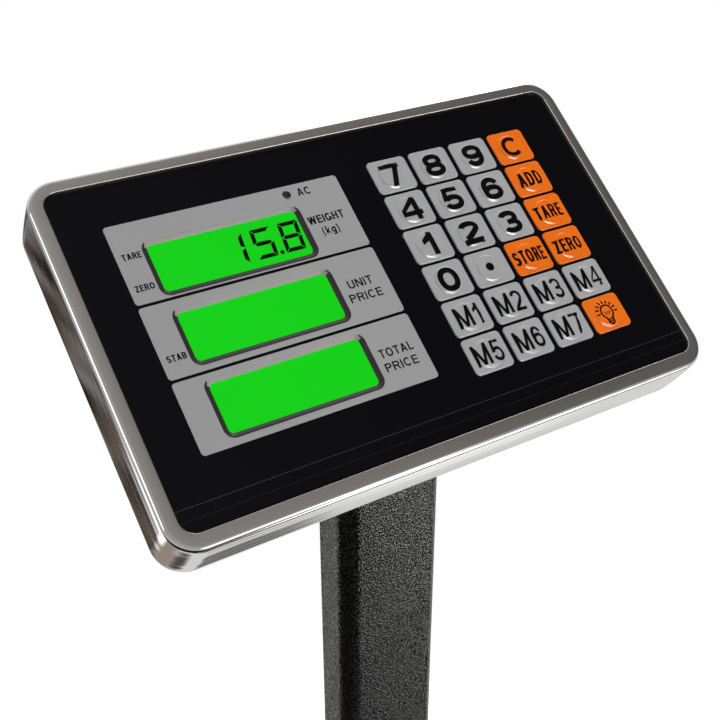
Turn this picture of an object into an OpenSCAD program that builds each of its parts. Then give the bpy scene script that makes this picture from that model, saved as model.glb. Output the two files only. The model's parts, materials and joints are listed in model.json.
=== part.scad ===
// Retail price scale: a tilting indicator head on a folding column, over a weighing platform.
// Millimetres, +Z up, -Y towards the operator. The origin is the centre of the footprint on the floor.
// Head pieces are drawn in the panel's own frame: X right, Y up the panel, Z out of its face.

/* [Head] */
// Width of the head's steel pan
head_w = 284; // [276:1:360]
// Height of the pan, measured up the sloping panel
head_h = 173; // [168:1:230]
// Corner radius of the pan
head_r = 15; // [10:0.5:20]
// Depth of the pan behind the face of the overlay
head_depth = 24; // [20:0.5:32]
// Sheet thickness of the pan
pan_wall = 1.2; // [0.8:0.1:2]
// How far the rim stands above the overlay
rim_height = 1.5; // [0.5:0.1:3]
// Width of the rim around the overlay
rim_w = 6.6; // [5:0.1:9]
// Slope of the panel above the horizontal, in degrees
head_tilt = 36.7; // [25:0.1:50]
// Height of the panel's centre above the floor
head_z = 830; // [720:5:1100]

/* [Overlay] */
// Thickness of the printed film
overlay_t = 0.4; // [0.2:0.05:0.8]
// Corner radius of the film
overlay_r = 7; // [4:0.5:9]
// Clearance around the film
overlay_gap = 0.1; // [0.05:0.05:0.3]
// Radius of the mains lamp
lamp_r = 1.9; // [1:0.1:2.5]
// Place of the mains lamp across the panel
lamp_x = -28.1; // [-40:0.1:-10]
// Place of the mains lamp up the panel
lamp_y = 54.2; // [52:0.1:60]

/* [Keys] */
// Width of a key
key_w = 21.6; // [18:0.1:22]
// Height of a key
key_h = 18.4; // [15:0.1:18.4]
// Corner radius of a key
key_r = 2.3; // [1:0.1:4]
// Spacing of the keys across
key_pitch_x = 24; // [24:0.1:27]
// Spacing of the keys up the panel
key_pitch_y = 19.9; // [19.9:0.1:22]
// Centre of the left column of keys
key_x = 28.2; // [26:0.1:32]
// Centre of the top row of keys
key_y = 51.4; // [44:0.1:56]
// How far a key stands above the overlay
key_proud = 0.35; // [0.1:0.05:1]
// Travel of a key
key_travel = 0.4; // [0.2:0.05:0.6]
// Clearance around a key
key_gap = 0.3; // [0.2:0.05:0.35]
// Width of the flange that keeps a key behind the panel
key_flange = 0.6; // [0.5:0.05:0.6]

/* [Displays] */
// Width of a display window
window_w = 75.6; // [60:0.1:84]
// Height of a display window
window_h = 26.6; // [20:0.1:28]
// Corner radius of a display window
window_r = 4; // [1:0.5:6]
// Centre of the windows across the panel
window_x = -64.3; // [-72:0.1:-60]
// Centre of the middle window up the panel
window_y = 0.2; // [-4:0.1:4]
// Spacing of the windows
window_pitch = 34.2; // [33.5:0.1:38]
// Depth of the display glass below the overlay
display_depth = 5; // [3:0.1:7]
// How far the display glass reaches past its window on each side
display_lap = 2.4; // [1:0.1:3]
// Thickness of a display's glass
glass_t = 2.8; // [1.5:0.1:4]
// Thickness of a backlight
backlight_t = 3; // [2:0.1:5]

/* [Back of the head] */
// Wall of the plastic back cover
cover_wall = 2.5; // [1.5:0.1:4]
// Width of the raised box on the cover
box_w = 210; // [150:1:220]
// Lower end of the box, measured down the panel from its centre
box_low = 66; // [62:1:70]
// Upper end of the box, measured up the panel from its centre
box_high = 50; // [48:1:66]
// Depth of the box behind the pan
box_depth = 20; // [16:0.5:30]
// Length of the battery
battery_w = 97; // [70:1:120]
// Width of the battery
battery_h = 52; // [40:1:52]
// Thickness of the battery
battery_t = 24; // [18:1:26]
// Centre of the battery up the panel
battery_y = 16; // [14:1:18]
// Corner radius of the box
box_r = 8; // [4:0.5:12]
// How far the battery's door reaches past it at each end
door_lap_x = 14; // [12:0.5:16]
// How far the battery's door reaches past it above and below
door_lap_y = 4; // [2:0.5:6]
// Thickness of the battery's door
door_t = 2; // [1.5:0.1:2]

/* [Tilt hinge] */
// Distance of the hinge pin behind the box
hinge_drop = 27; // [25:0.5:40]
// Radius of the hinge pin
tilt_pin_r = 4; // [3:0.5:5]
// Thickness of the hinge's steel plate
tilt_plate = 3; // [2:0.5:5]
// Radius of the hinge's ears
tilt_ear_r = 13; // [10:0.5:15]
// Radius of a hand knob
knob_r = 20; // [15:0.5:22]
// Length of a hand knob's grip
knob_l = 14; // [10:0.5:20]
// Width of the hinge's base plate
bracket_w = 112; // [100:1:140]
// Height of the hinge's base plate
bracket_h = 40; // [36:1:44]
// Distance of the base plate's screws from its edges
bracket_edge = 8; // [6:0.5:12]

/* [Column] */
// Width of the column's tube
column_w = 60; // [50:1:75]
// Depth of the column's tube
column_d = 32.6; // [28:0.2:33]
// Corner radius of the tube
column_r = 9.6; // [4:0.2:12]
// Wall of the tube
column_wall = 1.5; // [1:0.1:3]
// How far the column stands behind the panel's centre
column_back = 8.8; // [0:0.2:20]
// Height of the tube above the tilt pin
column_head = 14; // [10:0.5:14]
// Radius of the lead in the column
lead_r = 2.5; // [1.5:0.1:2.6]

/* [Fold hinge] */
// Height of the fold pin above the platter
fold_lift = 22; // [20:0.5:40]
// Radius of the fold pin
fold_pin_r = 5; // [4:0.5:6]
// Length of the tube below the fold pin
fold_tail = 20; // [14:0.5:24]
// Thickness of the fold bracket's plates
fold_plate = 3; // [2:0.5:5]
// Height of the bracket's sides above the fold pin
fold_side = 60; // [50:1:90]
// Height of the clamp knob above the fold pin
fold_clamp = 40; // [32:1:60]

/* [Platform] */
// Width of the platter
platter_w = 400; // [300:5:600]
// Length of the platter
platter_l = 500; // [400:5:800]
// Height of the platter's top above the floor
platter_top = 110; // [104:1:150]
// Sheet thickness of the platter
platter_t = 1.5; // [1:0.1:3]
// Depth of the platter's skirt
platter_skirt = 45; // [30:1:48]
// Corner radius of the platter
platter_r = 8; // [4:0.5:20]
// Distance from the platter to the column
platter_gap = 12; // [10:0.5:30]
// Width of a frame rail
rail_w = 40; // [30:1:60]
// Height of a base rail
rail_h = 25; // [20:1:30]
// Wall of a frame rail
rail_wall = 2; // [1.5:0.1:3]
// Height of a rubber foot
foot_h = 14; // [10:1:25]
// Radius of a rubber foot
foot_r = 18; // [12:1:25]
// Gap between a foot and the base rail
foot_gap = 8; // [7:0.5:14]
// Thickness of the rubber buffers under the platter
buffer_t = 4; // [3:0.5:6]
// Length of the load cell
cell_l = 150; // [120:1:180]
// Width of the load cell
cell_w = 38; // [30:1:50]
// Height of the load cell
cell_h = 32; // [25:1:36]

// Thickness of the pads above and below the load cell
cell_pad = 3; // [2:0.5:6]
// Length of a pad, which is also the width of the cross rails over the cell
cell_pad_l = 44; // [40:1:50]
// Height of the lead above the load cell's underside
lead_exit = 8; // [6:0.5:9]

/* [Boards, switch and socket] */
// Thickness of a circuit board
board_t = 1.6; // [1:0.1:2]
// Radius of a key's metal dome
dome_r = 3; // [2:0.1:5]
// Height of a key's metal dome
dome_h = 0.8; // [0.4:0.1:1]
// Width of the power switch's body
switch_w = 13; // [10:0.5:14]
// Height of the power switch's body
switch_h = 19; // [15:0.5:20]
// Thickness of the flanges of the switch and of the socket
flange_t = 2; // [1:0.1:2.5]
// Distance of the charging socket below the switch
socket_drop = 34; // [28:1:50]
// Radius of the charging socket's body
socket_r = 5; // [4.5:0.1:6]
// Radius of the socket's hole
jack_r = 2.9; // [2:0.1:3.2]
// Radius of the socket's centre pin
jack_pin_r = 1; // [0.6:0.1:1.2]

/* [Fasteners and fits] */
// Radius of a small screw
screw_r = 1.5; // [1.2:0.1:1.8]
// Radius of a small screw's head
screw_head_r = 2.8; // [2.4:0.1:3]
// Height of a small screw's head
screw_head_t = 2; // [1.2:0.1:2.2]
// Radius of the studs behind the panel
stud_r = 4; // [3.5:0.1:5]
// Radius of a frame bolt
bolt_r = 4; // [3:0.5:4.5]
// Radial clearance of a fixed bolt or screw
slack = 0.05; // [0.02:0.01:0.1]
// Radial clearance of a turning pin
running = 0.08; // [0.04:0.01:0.1]
// Side clearance between pieces that move past each other
body_gap = 0.4; // [0.3:0.05:0.5]
// Clearance around a fixed plate or plug in its opening
seat_gap = 0.2; // [0.1:0.05:0.3]

/* [Hidden] */
$fn = 48;
over = 1;           // how far a cutting shape runs past a face
sleeve_wall = 2;
cap_t = 2;
cap_plug = 5;
cap_lead = 2.5;     // how far the lead stands out of the cap
stud_screw_l = 14;
bracket_screw_l = 9;
door_screw_l = 8;
frame_screw_l = 6;

key_rows = 6;
key_columns = 4;
key_names = [
    ["7", "8", "9", "c"],
    ["4", "5", "6", "add"],
    ["1", "2", "3", "tare"],
    ["0", "point", "store", "zero"],
    ["m1", "m2", "m3", "m4"],
    ["m5", "m6", "m7", "light"]
];
KEYS = [for (row = key_names) for (name = row) str("key_", name)];

// The stack behind the panel, measured out of its face
sheet_top = -overlay_t;
sheet_low = sheet_top - pan_wall;
key_low = sheet_low - key_gap - key_flange;
dome_gap = 0.3;
dome_top = key_low - key_travel - dome_gap;
board_top = dome_top - dome_h;
glass_top = -display_depth;
light_top = glass_top - glass_t;
display_board_top = light_top - backlight_t;
cover_face = -head_depth;
box_face = cover_face - box_depth;
hinge_w = box_face - hinge_drop;

// The overlay fills the rim
overlay_w = head_w - 2 * rim_w;
overlay_h = head_h - 2 * rim_w;
inner_r = head_r - pan_wall;
stud_edge = 11;
stud_x = overlay_w / 2 - stud_edge;
stud_y = overlay_h / 2 - stud_edge;
display_w = window_w + 2 * display_lap;
display_h = window_h + 2 * display_lap;
windows = [for (i = [1, 0, -1]) window_y + i * window_pitch];
bezel_edge = 5;
board_edge = 4;
switch_x = (box_w / 2 + head_w / 2) / 2 - 3;
side_w = head_w - 2 * pan_wall;
side_h = head_h - 2 * pan_wall;

// Places in the world
head_back = head_h / 2 * cos(head_tilt) + head_depth * sin(head_tilt);
platter_back = column_d / 2 + platter_gap - column_back;
head_y = (platter_back + platter_l - head_back) / 2;
column_y = head_y + column_back;
hinge_v = (column_back + hinge_w * sin(head_tilt)) / cos(head_tilt);
hinge_z = head_z + hinge_v * sin(head_tilt) + hinge_w * cos(head_tilt);
column_top = hinge_z + column_head;
platter_y1 = column_y - column_d / 2 - platter_gap;
platter_y0 = platter_y1 - platter_l;
platter_y = (platter_y0 + platter_y1) / 2;
fold_z = platter_top + fold_lift;
tail_reach = sqrt(pow(fold_tail, 2) + pow(column_d / 2, 2));
fold_floor = fold_z - tail_reach - body_gap;
rail_z = foot_h + foot_gap;
rail_top = rail_z + rail_h;
buffer_z = platter_top - platter_t - buffer_t;
cell_z = rail_top + cell_pad;
spider_z = cell_z + cell_h + cell_pad;
spider_h = buffer_z - spider_z;
side_x = column_w / 2 + body_gap;
bracket_front = column_y - column_d / 2 - body_gap - fold_plate;
bracket_back = column_y + column_d / 2 + body_gap;
rail_side = 12;     // how far the side rails stand inside the platter
rail_front = 16;    // how far the front rail stands inside the platter
rail_x = platter_w / 2 - rail_w / 2 - rail_side;
rail_y0 = platter_y0 + rail_front;
foot_in = rail_w / 2 + 8;
lead_gap = 1.2;     // clearance between the lead and the sleeves
lead_y = column_y + fold_pin_r + sleeve_wall + lead_r + lead_gap;
lead_z = cell_z + lead_exit;
lead_depth = 9;
lead_start = platter_y + cell_l / 2 - lead_depth;
cell_bolt_y = [12, 32];

// A rectangle with round corners
module rounded(w, h, r) {
    square([w - 2 * r, h], center = true);
    square([w, h - 2 * r], center = true);
    for (x = [-1, 1], y = [-1, 1]) translate([x * (w / 2 - r), y * (h / 2 - r)]) circle(r);
}

// A prism between two heights
module prism(low, high) {
    translate([0, 0, low]) linear_extrude(high - low) children();
}

module rod(r, low, high) {
    translate([0, 0, low]) cylinder(r = r, h = high - low);
}

// A rod along X between two places
module cross_rod(r, low, high) {
    translate([low, 0, 0]) rotate([0, 90, 0]) cylinder(r = r, h = high - low);
}

// Moves the panel's frame to its place on the column
module on_head() {
    translate([0, head_y, head_z]) rotate([head_tilt, 0, 0]) children();
}

function key_at(row, column) = [key_x + column * key_pitch_x, key_y - row * key_pitch_y, 0];

module at_keys() {
    for (row = [0:key_rows - 1], column = [0:key_columns - 1]) translate(key_at(row, column)) children();
}

module at_windows() {
    for (y = windows) translate([window_x, y, 0]) children();
}

module at_studs() {
    for (x = [-1, 1], y = [-1, 1]) translate([x * stud_x, y * stud_y, 0]) children();
}

// ---- Head ----

module key_hole() {
    rounded(key_w + 2 * key_gap, key_h + 2 * key_gap, key_r + key_gap);
}

module head_pan() {
    color([0.62, 0.6, 0.58]) on_head() difference() {
        union() {
            difference() {
                prism(-head_depth, rim_height) rounded(head_w, head_h, head_r);
                prism(-head_depth - over, rim_height - pan_wall) rounded(side_w, side_h, inner_r);
                prism(0, rim_height + over) rounded(overlay_w, overlay_h, overlay_r);
            }
            difference() {
                prism(sheet_low, rim_height - pan_wall / 2)
                    rounded(overlay_w + 2 * pan_wall, overlay_h + 2 * pan_wall, overlay_r + pan_wall);
                prism(sheet_top, rim_height + over) rounded(overlay_w, overlay_h, overlay_r);
            }
            at_studs() rod(stud_r, cover_face + cover_wall, sheet_low + pan_wall / 2);
            at_board_holes() rod(stud_r - 1, board_top, sheet_low + pan_wall / 2);
        }
        at_keys() prism(sheet_low - over, over) key_hole();
        at_windows() prism(sheet_low - over, over) rounded(window_w, window_h, window_r);
        at_studs() rod(screw_r + slack, cover_face, cover_face + stud_screw_l);
        translate([lamp_x, lamp_y, 0]) rod(lamp_r + slack, sheet_low - over, over);
    }
}

module overlay_panel() {
    color([0.05, 0.05, 0.06]) on_head() difference() {
        prism(-overlay_t, 0)
            rounded(overlay_w - 2 * overlay_gap, overlay_h - 2 * overlay_gap, overlay_r - overlay_gap);
        at_keys() prism(-overlay_t - over, over) key_hole();
        at_windows() prism(-overlay_t - over, over) rounded(window_w, window_h, window_r);
        translate([lamp_x, lamp_y, 0]) rod(lamp_r + slack, -overlay_t - over, over);
    }
}

module ac_lamp() {
    color([0.15, 0.02, 0.02]) on_head() translate([lamp_x, lamp_y, 0]) {
        rod(lamp_r, display_board_top, -overlay_t / 2);
    }
}

// A key cap with a flange that keeps it behind the panel
module key(row, column) {
    orange = column == 3 && row != 4 || row == 3 && column == 2;
    color(orange ? [0.95, 0.45, 0.05] : [0.7, 0.7, 0.72]) on_head() translate(key_at(row, column)) {
        prism(key_low, key_proud) rounded(key_w, key_h, key_r);
        prism(key_low, key_low + key_flange)
            rounded(key_w + 2 * key_flange, key_h + 2 * key_flange, key_r + key_flange);
    }
}

module key_domes() {
    color([0.85, 0.85, 0.8]) on_head() at_keys() rod(dome_r, board_top, dome_top);
}

key_mid = [key_x + (key_columns - 1) / 2 * key_pitch_x, key_y - (key_rows - 1) / 2 * key_pitch_y, 0];
key_board_w = (key_columns - 1) * key_pitch_x + key_w + 4 * board_edge;
key_board_h = (key_rows - 1) * key_pitch_y + key_h;

// Screw places of the key board, beside the keys
module at_board_holes() {
    hole_x = key_board_w / 2 - 3.5;
    hole_y = key_board_h / 2 - 14;
    for (x = [-1, 1], y = [-1, 1]) translate(key_mid + [x * hole_x, y * hole_y, 0]) children();
}

module key_board() {
    color([0.1, 0.4, 0.2]) on_head() difference() {
        translate(key_mid) prism(board_top - board_t, board_top) rounded(key_board_w, key_board_h, 2);
        at_board_holes() rod(screw_r + slack, board_top - board_t - over, board_top + over);
    }
}

bezel_screw = 3;
light_gap = 0.5;
frame_mid = [window_x, window_y, 0];
frame_w = display_w + 2 * bezel_edge;
frame_h = 2 * window_pitch + display_h + 2 * bezel_edge;

// One moulding behind the panel holds the three displays
module display_frame() {
    color([0.6, 0.6, 0.6]) on_head() difference() {
        translate(frame_mid) prism(display_board_top, sheet_low) rounded(frame_w, frame_h, 3);
        at_windows() prism(display_board_top - over, over) rounded(window_w, window_h, window_r);
        at_windows() prism(display_board_top - over, glass_top) square([display_w, display_h], center = true);
        translate([lamp_x, lamp_y, 0]) rod(lamp_r + slack, display_board_top - over, over);
        at_frame_screws() rod(screw_r + slack, display_board_top - over, display_board_top + bezel_edge);
    }
}

module at_frame_screws() {
    hole_x = frame_w / 2 - bezel_screw;
    hole_y = frame_h / 2 - bezel_screw;
    for (x = [-1, 1], y = [-1, 1]) translate(frame_mid + [x * hole_x, y * hole_y, 0]) children();
}

module display(i) {
    color([0.1, 0.85, 0.1]) on_head() translate([window_x, windows[i], 0])
        prism(light_top, glass_top) square([display_w - 2 * slack, display_h - 2 * slack], center = true);
}

module backlights() {
    color([0.85, 0.95, 0.85]) on_head() at_windows()
        prism(display_board_top, light_top)
            square([display_w - 2 * light_gap, display_h - 2 * light_gap], center = true);
}

module display_board() {
    color([0.1, 0.4, 0.2]) on_head() difference() {
        translate(frame_mid) prism(display_board_top - board_t, display_board_top)
            rounded(frame_w + board_edge, frame_h + board_edge, board_edge / 2);
        at_frame_screws() rod(screw_r + slack, display_board_top - board_t - over, display_board_top + over);
    }
}

// ---- Back of the head ----

box_y = (box_high - box_low) / 2;
box_h = box_high + box_low;
door_edge = 5;
battery_gap = 1;

module at_bracket_screws() {
    hole_x = bracket_w / 2 - bracket_edge - 2;
    hole_y = bracket_h / 2 - bracket_edge;
    for (x = [-1, 1], y = [-1, 1]) translate([x * hole_x, hinge_v + y * hole_y, 0]) children();
}

module at_door_screws() {
    for (x = [-1, 1]) translate([x * (battery_w / 2 + door_lap_x - door_edge), battery_y, 0]) children();
}

module back_cover() {
    color([0.12, 0.12, 0.13]) on_head() difference() {
        union() {
            prism(cover_face, cover_face + cover_wall)
                rounded(side_w - 2 * seat_gap, side_h - 2 * seat_gap, inner_r - seat_gap);
            translate([0, box_y, 0]) prism(box_face, cover_face + cover_wall) rounded(box_w, box_h, box_r);
        }
        translate([0, box_y, 0]) prism(box_face + cover_wall, cover_face + cover_wall + over)
            rounded(box_w - 2 * cover_wall, box_h - 2 * cover_wall, box_r - cover_wall);
        translate([0, battery_y, 0]) prism(box_face - over, box_face + cover_wall + over)
            square([battery_w + 2 * battery_gap, battery_h + 2 * battery_gap], center = true);
        at_studs() rod(screw_r + slack, cover_face - over, 0);
        at_bracket_screws() rod(screw_r + slack, box_face - over, cover_face);
        at_door_screws() rod(screw_r + slack, box_face - over, cover_face);
        translate([switch_x, 0, 0]) prism(cover_face - over, 0)
            square([switch_w + 2 * seat_gap, switch_h + 2 * seat_gap], center = true);
        translate([switch_x, -socket_drop, 0]) rod(socket_r + seat_gap / 2, cover_face - over, 0);
    }
}

// Flat push-on terminals of the battery and of the switch
blade_w = 4.8;
blade_t = 0.8;
blade_l = 6;

module battery() {
    low = box_face + seat_gap;
    blade_in = 8;
    color([0.25, 0.25, 0.27]) on_head() translate([0, battery_y, 0]) {
        prism(low, low + battery_t) rounded(battery_w, battery_h, 2);
        for (x = [-1, 1]) translate([x * (battery_w / 2 - blade_in), battery_h / 2 - blade_in, 0])
            prism(low + battery_t - seat_gap, low + battery_t - seat_gap + blade_l)
                square([blade_t, blade_w], center = true);
    }
}

// The door has a ribbed grip
door_face = box_face - door_t;
grip_w = 60;
grip_h = 1.6;
grip_t = 0.6;
grip_pitch = 5;

module battery_door() {
    color([0.14, 0.14, 0.15]) on_head() difference() {
        union() {
            translate([0, battery_y, 0]) prism(door_face, box_face)
                rounded(battery_w + 2 * door_lap_x, battery_h + 2 * door_lap_y, 4);
            for (y = [-4:4]) translate([0, battery_y + y * grip_pitch, 0])
                prism(door_face - grip_t, door_face + slack) square([grip_w, grip_h], center = true);
        }
        at_door_screws() rod(screw_r + slack, door_face - over, box_face + over);
    }
}

// A cross-head screw whose head is at z = 0 and whose shank points up
module screw(length) {
    cross_l = 3.4;
    cross_w = 0.8;
    cross_depth = 0.9;
    difference() {
        rod(screw_head_r, -screw_head_t, 0);
        translate([0, 0, -screw_head_t - over]) linear_extrude(over + cross_depth) {
            square([cross_w, cross_l], center = true);
            square([cross_l, cross_w], center = true);
        }
    }
    rod(screw_r, -slack, length);
}

module head_screws() {
    color([0.7, 0.7, 0.7]) on_head() {
        at_studs() translate([0, 0, cover_face]) screw(stud_screw_l);
        at_bracket_screws() translate([0, 0, box_face - tilt_plate]) screw(bracket_screw_l);
        at_door_screws() translate([0, 0, door_face]) screw(door_screw_l);
        at_frame_screws() translate([0, 0, display_board_top - board_t]) screw(frame_screw_l);
        at_board_holes() translate([0, 0, board_top - board_t]) screw(board_t);
    }
}

switch_depth = 11;
rocker_well = 6;
rocker_w = switch_w - 3;
rocker_half = switch_h / 2 - 2.1;
rocker_gap = 0.4;
rocker_tip = 8;
rocker_pin = cover_face + 1;

module power_switch() {
    color([0.08, 0.08, 0.08]) on_head() translate([switch_x, 0, 0]) difference() {
        union() {
            prism(cover_face - flange_t, cover_face) rounded(switch_w + 2, switch_h + 2, 1.5);
            prism(cover_face, cover_face + switch_depth) square([switch_w, switch_h], center = true);
            for (y = [-5, 5]) translate([0, y, 0])
                prism(cover_face + switch_depth - slack, cover_face + switch_depth + blade_l)
                    square([blade_w, blade_t], center = true);
        }
        prism(cover_face - flange_t - over, cover_face + rocker_well)
            square([rocker_w + 2 * rocker_gap, 2 * rocker_half + 4 * rocker_gap], center = true);
    }
}

// The rocker is drawn with its upper half pressed in
module power_rocker() {
    top = rocker_half - rocker_gap;
    color([0.7, 0.05, 0.05]) on_head() translate([switch_x, 0, rocker_pin]) rotate([-rocker_tip, 0, 0])
        rotate([90, 0, 90]) translate([0, 0, -rocker_w / 2]) linear_extrude(rocker_w)
        polygon([[-top, 0.6], [-rocker_half, -3.6], [0, -2.4], [rocker_half, -3.6], [top, 0.6], [0, 2.6]]);
}

module charge_socket() {
    flange = flange_t - 0.5;
    hole_depth = 9;
    color([0.1, 0.1, 0.1]) on_head() translate([switch_x, -socket_drop, 0]) {
        difference() {
            union() {
                rod(socket_r + 2, cover_face - flange, cover_face);
                rod(socket_r, cover_face - slack, cover_face + hole_depth + 2);
            }
            rod(jack_r, cover_face - flange - over, cover_face + hole_depth);
        }
        rod(jack_pin_r, cover_face, cover_face + hole_depth + slack);
    }
}

// ---- Tilt hinge ----

module tilt_bracket() {
    ear = box_face - hinge_w;
    color([0.2, 0.2, 0.2]) on_head() difference() {
        union() {
            translate([0, hinge_v, 0]) prism(box_face - tilt_plate, box_face)
                rounded(bracket_w, bracket_h, bracket_edge / 2);
            for (x = [-side_x - tilt_plate, side_x]) translate([x, hinge_v, hinge_w])
                rotate([90, 0, 90]) linear_extrude(tilt_plate) {
                    circle(tilt_ear_r);
                    translate([-tilt_ear_r, 0]) square([2 * tilt_ear_r, ear - tilt_plate / 2]);
                }
        }
        translate([0, hinge_v, hinge_w]) cross_rod(tilt_pin_r + running, -head_w / 2, head_w / 2);
        at_bracket_screws() rod(screw_r + slack, box_face - tilt_plate - over, cover_face);
    }
}

tilt_outside = side_x + tilt_plate;
washer_t = 1.5;

// The bolt has its head on the left and carries the knob on the right
module tilt_bolt() {
    color([0.75, 0.75, 0.75]) translate([0, column_y, hinge_z]) {
        cross_rod(tilt_pin_r, -tilt_outside - body_gap, tilt_outside + knob_l);
        cross_rod(tilt_pin_r + 5, -tilt_outside - body_gap - washer_t, -tilt_outside - body_gap);
        cross_rod(tilt_pin_r + 3.5, -tilt_outside - body_gap - 5, -tilt_outside - body_gap - washer_t);
    }
}

knob_boss = 4;

// A hand knob along X with six lobes, its boss starting at x = 0
module knob(bore_r) {
    difference() {
        union() {
            cross_rod(knob_r * 0.45, 0, knob_boss);
            translate([knob_boss - slack, 0, 0]) rotate([0, 90, 0]) linear_extrude(knob_l) {
                circle(knob_r * 0.78);
                for (i = [0:5]) rotate(60 * i) translate([knob_r * 0.74, 0]) circle(knob_r * 0.26);
            }
        }
        cross_rod(bore_r, -over, knob_l);
    }
}

module tilt_knob() {
    color([0.08, 0.08, 0.08]) translate([tilt_outside + body_gap, column_y, hinge_z])
        knob(tilt_pin_r + running);
}

// ---- Column ----

module column_tube() {
    color([0.25, 0.25, 0.24]) translate([0, column_y, 0]) difference() {
        prism(fold_z - fold_tail, column_top) rounded(column_w, column_d, column_r);
        prism(fold_z - fold_tail - over, column_top + over)
            rounded(column_w - 2 * column_wall, column_d - 2 * column_wall, column_r - column_wall);
        translate([0, 0, hinge_z]) cross_rod(tilt_pin_r + slack, -column_w, column_w);
        translate([0, 0, fold_z]) cross_rod(fold_pin_r + running, -column_w, column_w);
    }
}

module column_cap() {
    plug_w = column_w - 2 * column_wall - seat_gap;
    plug_d = column_d - 2 * column_wall - seat_gap;
    plug_r = column_r - column_wall - seat_gap / 2;
    color([0.1, 0.1, 0.1]) difference() {
        translate([0, column_y, 0]) union() {
            prism(column_top, column_top + cap_t) rounded(column_w, column_d, column_r);
            prism(column_top - cap_plug, column_top + slack) rounded(plug_w, plug_d, plug_r);
        }
        translate([0, lead_y, 0])
            rod(lead_r + slack, column_top - cap_plug - over, column_top + cap_t + over);
    }
}

// How far the tube's round inner corners stand in from its side at the edge of a sleeve
function corner_in(sleeve_r, r) =
    let (past = max(0, sleeve_r - (column_d / 2 - column_wall - r))) r - sqrt(r * r - past * past);

// A spacer as long as the tube is wide inside, clear of its round corners
module sleeve(pin_r, gap) {
    r = pin_r + sleeve_wall;
    half = column_w / 2 - column_wall - max(slack, corner_in(r, column_r - column_wall) + slack / 2);
    difference() {
        cross_rod(r, -half, half);
        cross_rod(pin_r + gap, -half - over, half + over);
    }
}

// Spacers inside the tube keep the clamped bolts from crushing it
module column_sleeves() {
    color([0.75, 0.75, 0.75]) translate([0, column_y, 0]) {
        translate([0, 0, hinge_z]) sleeve(tilt_pin_r, slack);
        translate([0, 0, fold_z]) sleeve(fold_pin_r, running);
    }
}

// The load cell's lead runs up the back of the tube and out through the cap
module column_cable() {
    color([0.15, 0.15, 0.15]) translate([0, lead_y, 0])
        rod(lead_r, fold_z - fold_tail + sleeve_wall, column_top + cap_t + cap_lead);
}

// ---- Fold hinge ----

module fold_bracket() {
    outside = side_x + fold_plate;
    depth = bracket_back + fold_plate - bracket_front;
    top = fold_z + fold_side;
    stop_z = fold_z + tail_reach * 0.8;
    color([0.15, 0.15, 0.15]) difference() {
        union() {
            for (x = [-outside, side_x]) translate([x, bracket_front, rail_z])
                cube([fold_plate, depth, top - rail_z]);
            translate([-outside, bracket_front, rail_z])
                cube([2 * outside, fold_plate, fold_z - column_d / 2 - body_gap - rail_z]);
            translate([-outside, bracket_back, rail_z]) cube([2 * outside, fold_plate, fold_floor - rail_z]);
            translate([-outside, bracket_back, stop_z]) cube([2 * outside, fold_plate, top - stop_z]);
            translate([-outside, bracket_front, fold_floor - fold_plate])
                cube([2 * outside, depth, fold_plate]);
        }
        translate([0, column_y, fold_z]) cross_rod(fold_pin_r + slack, -column_w, column_w);
        translate([0, column_y, fold_z + fold_clamp]) cross_rod(bolt_r + slack, 0, column_w);
        at_bracket_bolts() rotate([-90, 0, 0]) cylinder(r = bolt_r + slack, h = fold_plate + 2 * over);
        translate([0, lead_y, 0]) rod(lead_r + slack, fold_floor - fold_plate - over, fold_floor + over);
        translate([0, bracket_front - over, lead_z]) rotate([-90, 0, 0])
            cylinder(r = lead_r + slack, h = fold_plate + 2 * over);
    }
}

module at_bracket_bolts() {
    for (x = [-1, 1]) translate([x * 18, bracket_front - over, rail_z + rail_h / 2]) children();
}

module fold_bolt() {
    outside = side_x + fold_plate;
    color([0.75, 0.75, 0.75]) translate([0, column_y, fold_z]) {
        cross_rod(fold_pin_r, -outside, outside + 10);
        cross_rod(fold_pin_r + 3.5, -outside - 6, -outside);
        cross_rod(fold_pin_r + 5, outside, outside + washer_t);
        translate([outside + washer_t, 0, 0]) rotate([0, 90, 0]) cylinder(r = fold_pin_r + 4, h = 6, $fn = 6);
    }
}

stud_gap = 0.3;

// The clamp knob's stud presses on the side of the tube
module fold_knob() {
    outside = side_x + fold_plate;
    color([0.08, 0.08, 0.08]) translate([0, column_y, fold_z + fold_clamp]) {
        cross_rod(bolt_r, column_w / 2 + stud_gap, outside + knob_boss + 4);
        translate([outside + body_gap, 0, 0]) knob(bolt_r - slack);
    }
}

// ---- Platform ----

// A rail of rectangular tube along Y
module rail_along_y(x, y0, y1, z, w, h) {
    translate([x, y0, z + h / 2]) rotate([-90, 0, 0]) linear_extrude(y1 - y0) difference() {
        square([w, h], center = true);
        square([w - 2 * rail_wall, h - 2 * rail_wall], center = true);
    }
}

// A rail of rectangular tube along X
module rail_along_x(x0, x1, y, z, w, h) {
    translate([x0, y, z + h / 2]) rotate([90, 0, 90]) linear_extrude(x1 - x0) difference() {
        square([w, h], center = true);
        square([w - 2 * rail_wall, h - 2 * rail_wall], center = true);
    }
}

module at_feet() {
    for (x = [-1, 1], y = [rail_y0 + foot_in, bracket_front - foot_in])
        translate([x * rail_x, y, 0]) children();
}

module at_cell_bolts(end) {
    for (x = [-1, 1], y = cell_bolt_y)
        translate([x * cell_w / 4, platter_y + end * (cell_l / 2 - y), 0]) children();
}

middle_w = 1.5 * rail_w;
level_r = bolt_r + 1;
cell_bolt_r = bolt_r - 1;
level_depth = 4;

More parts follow.
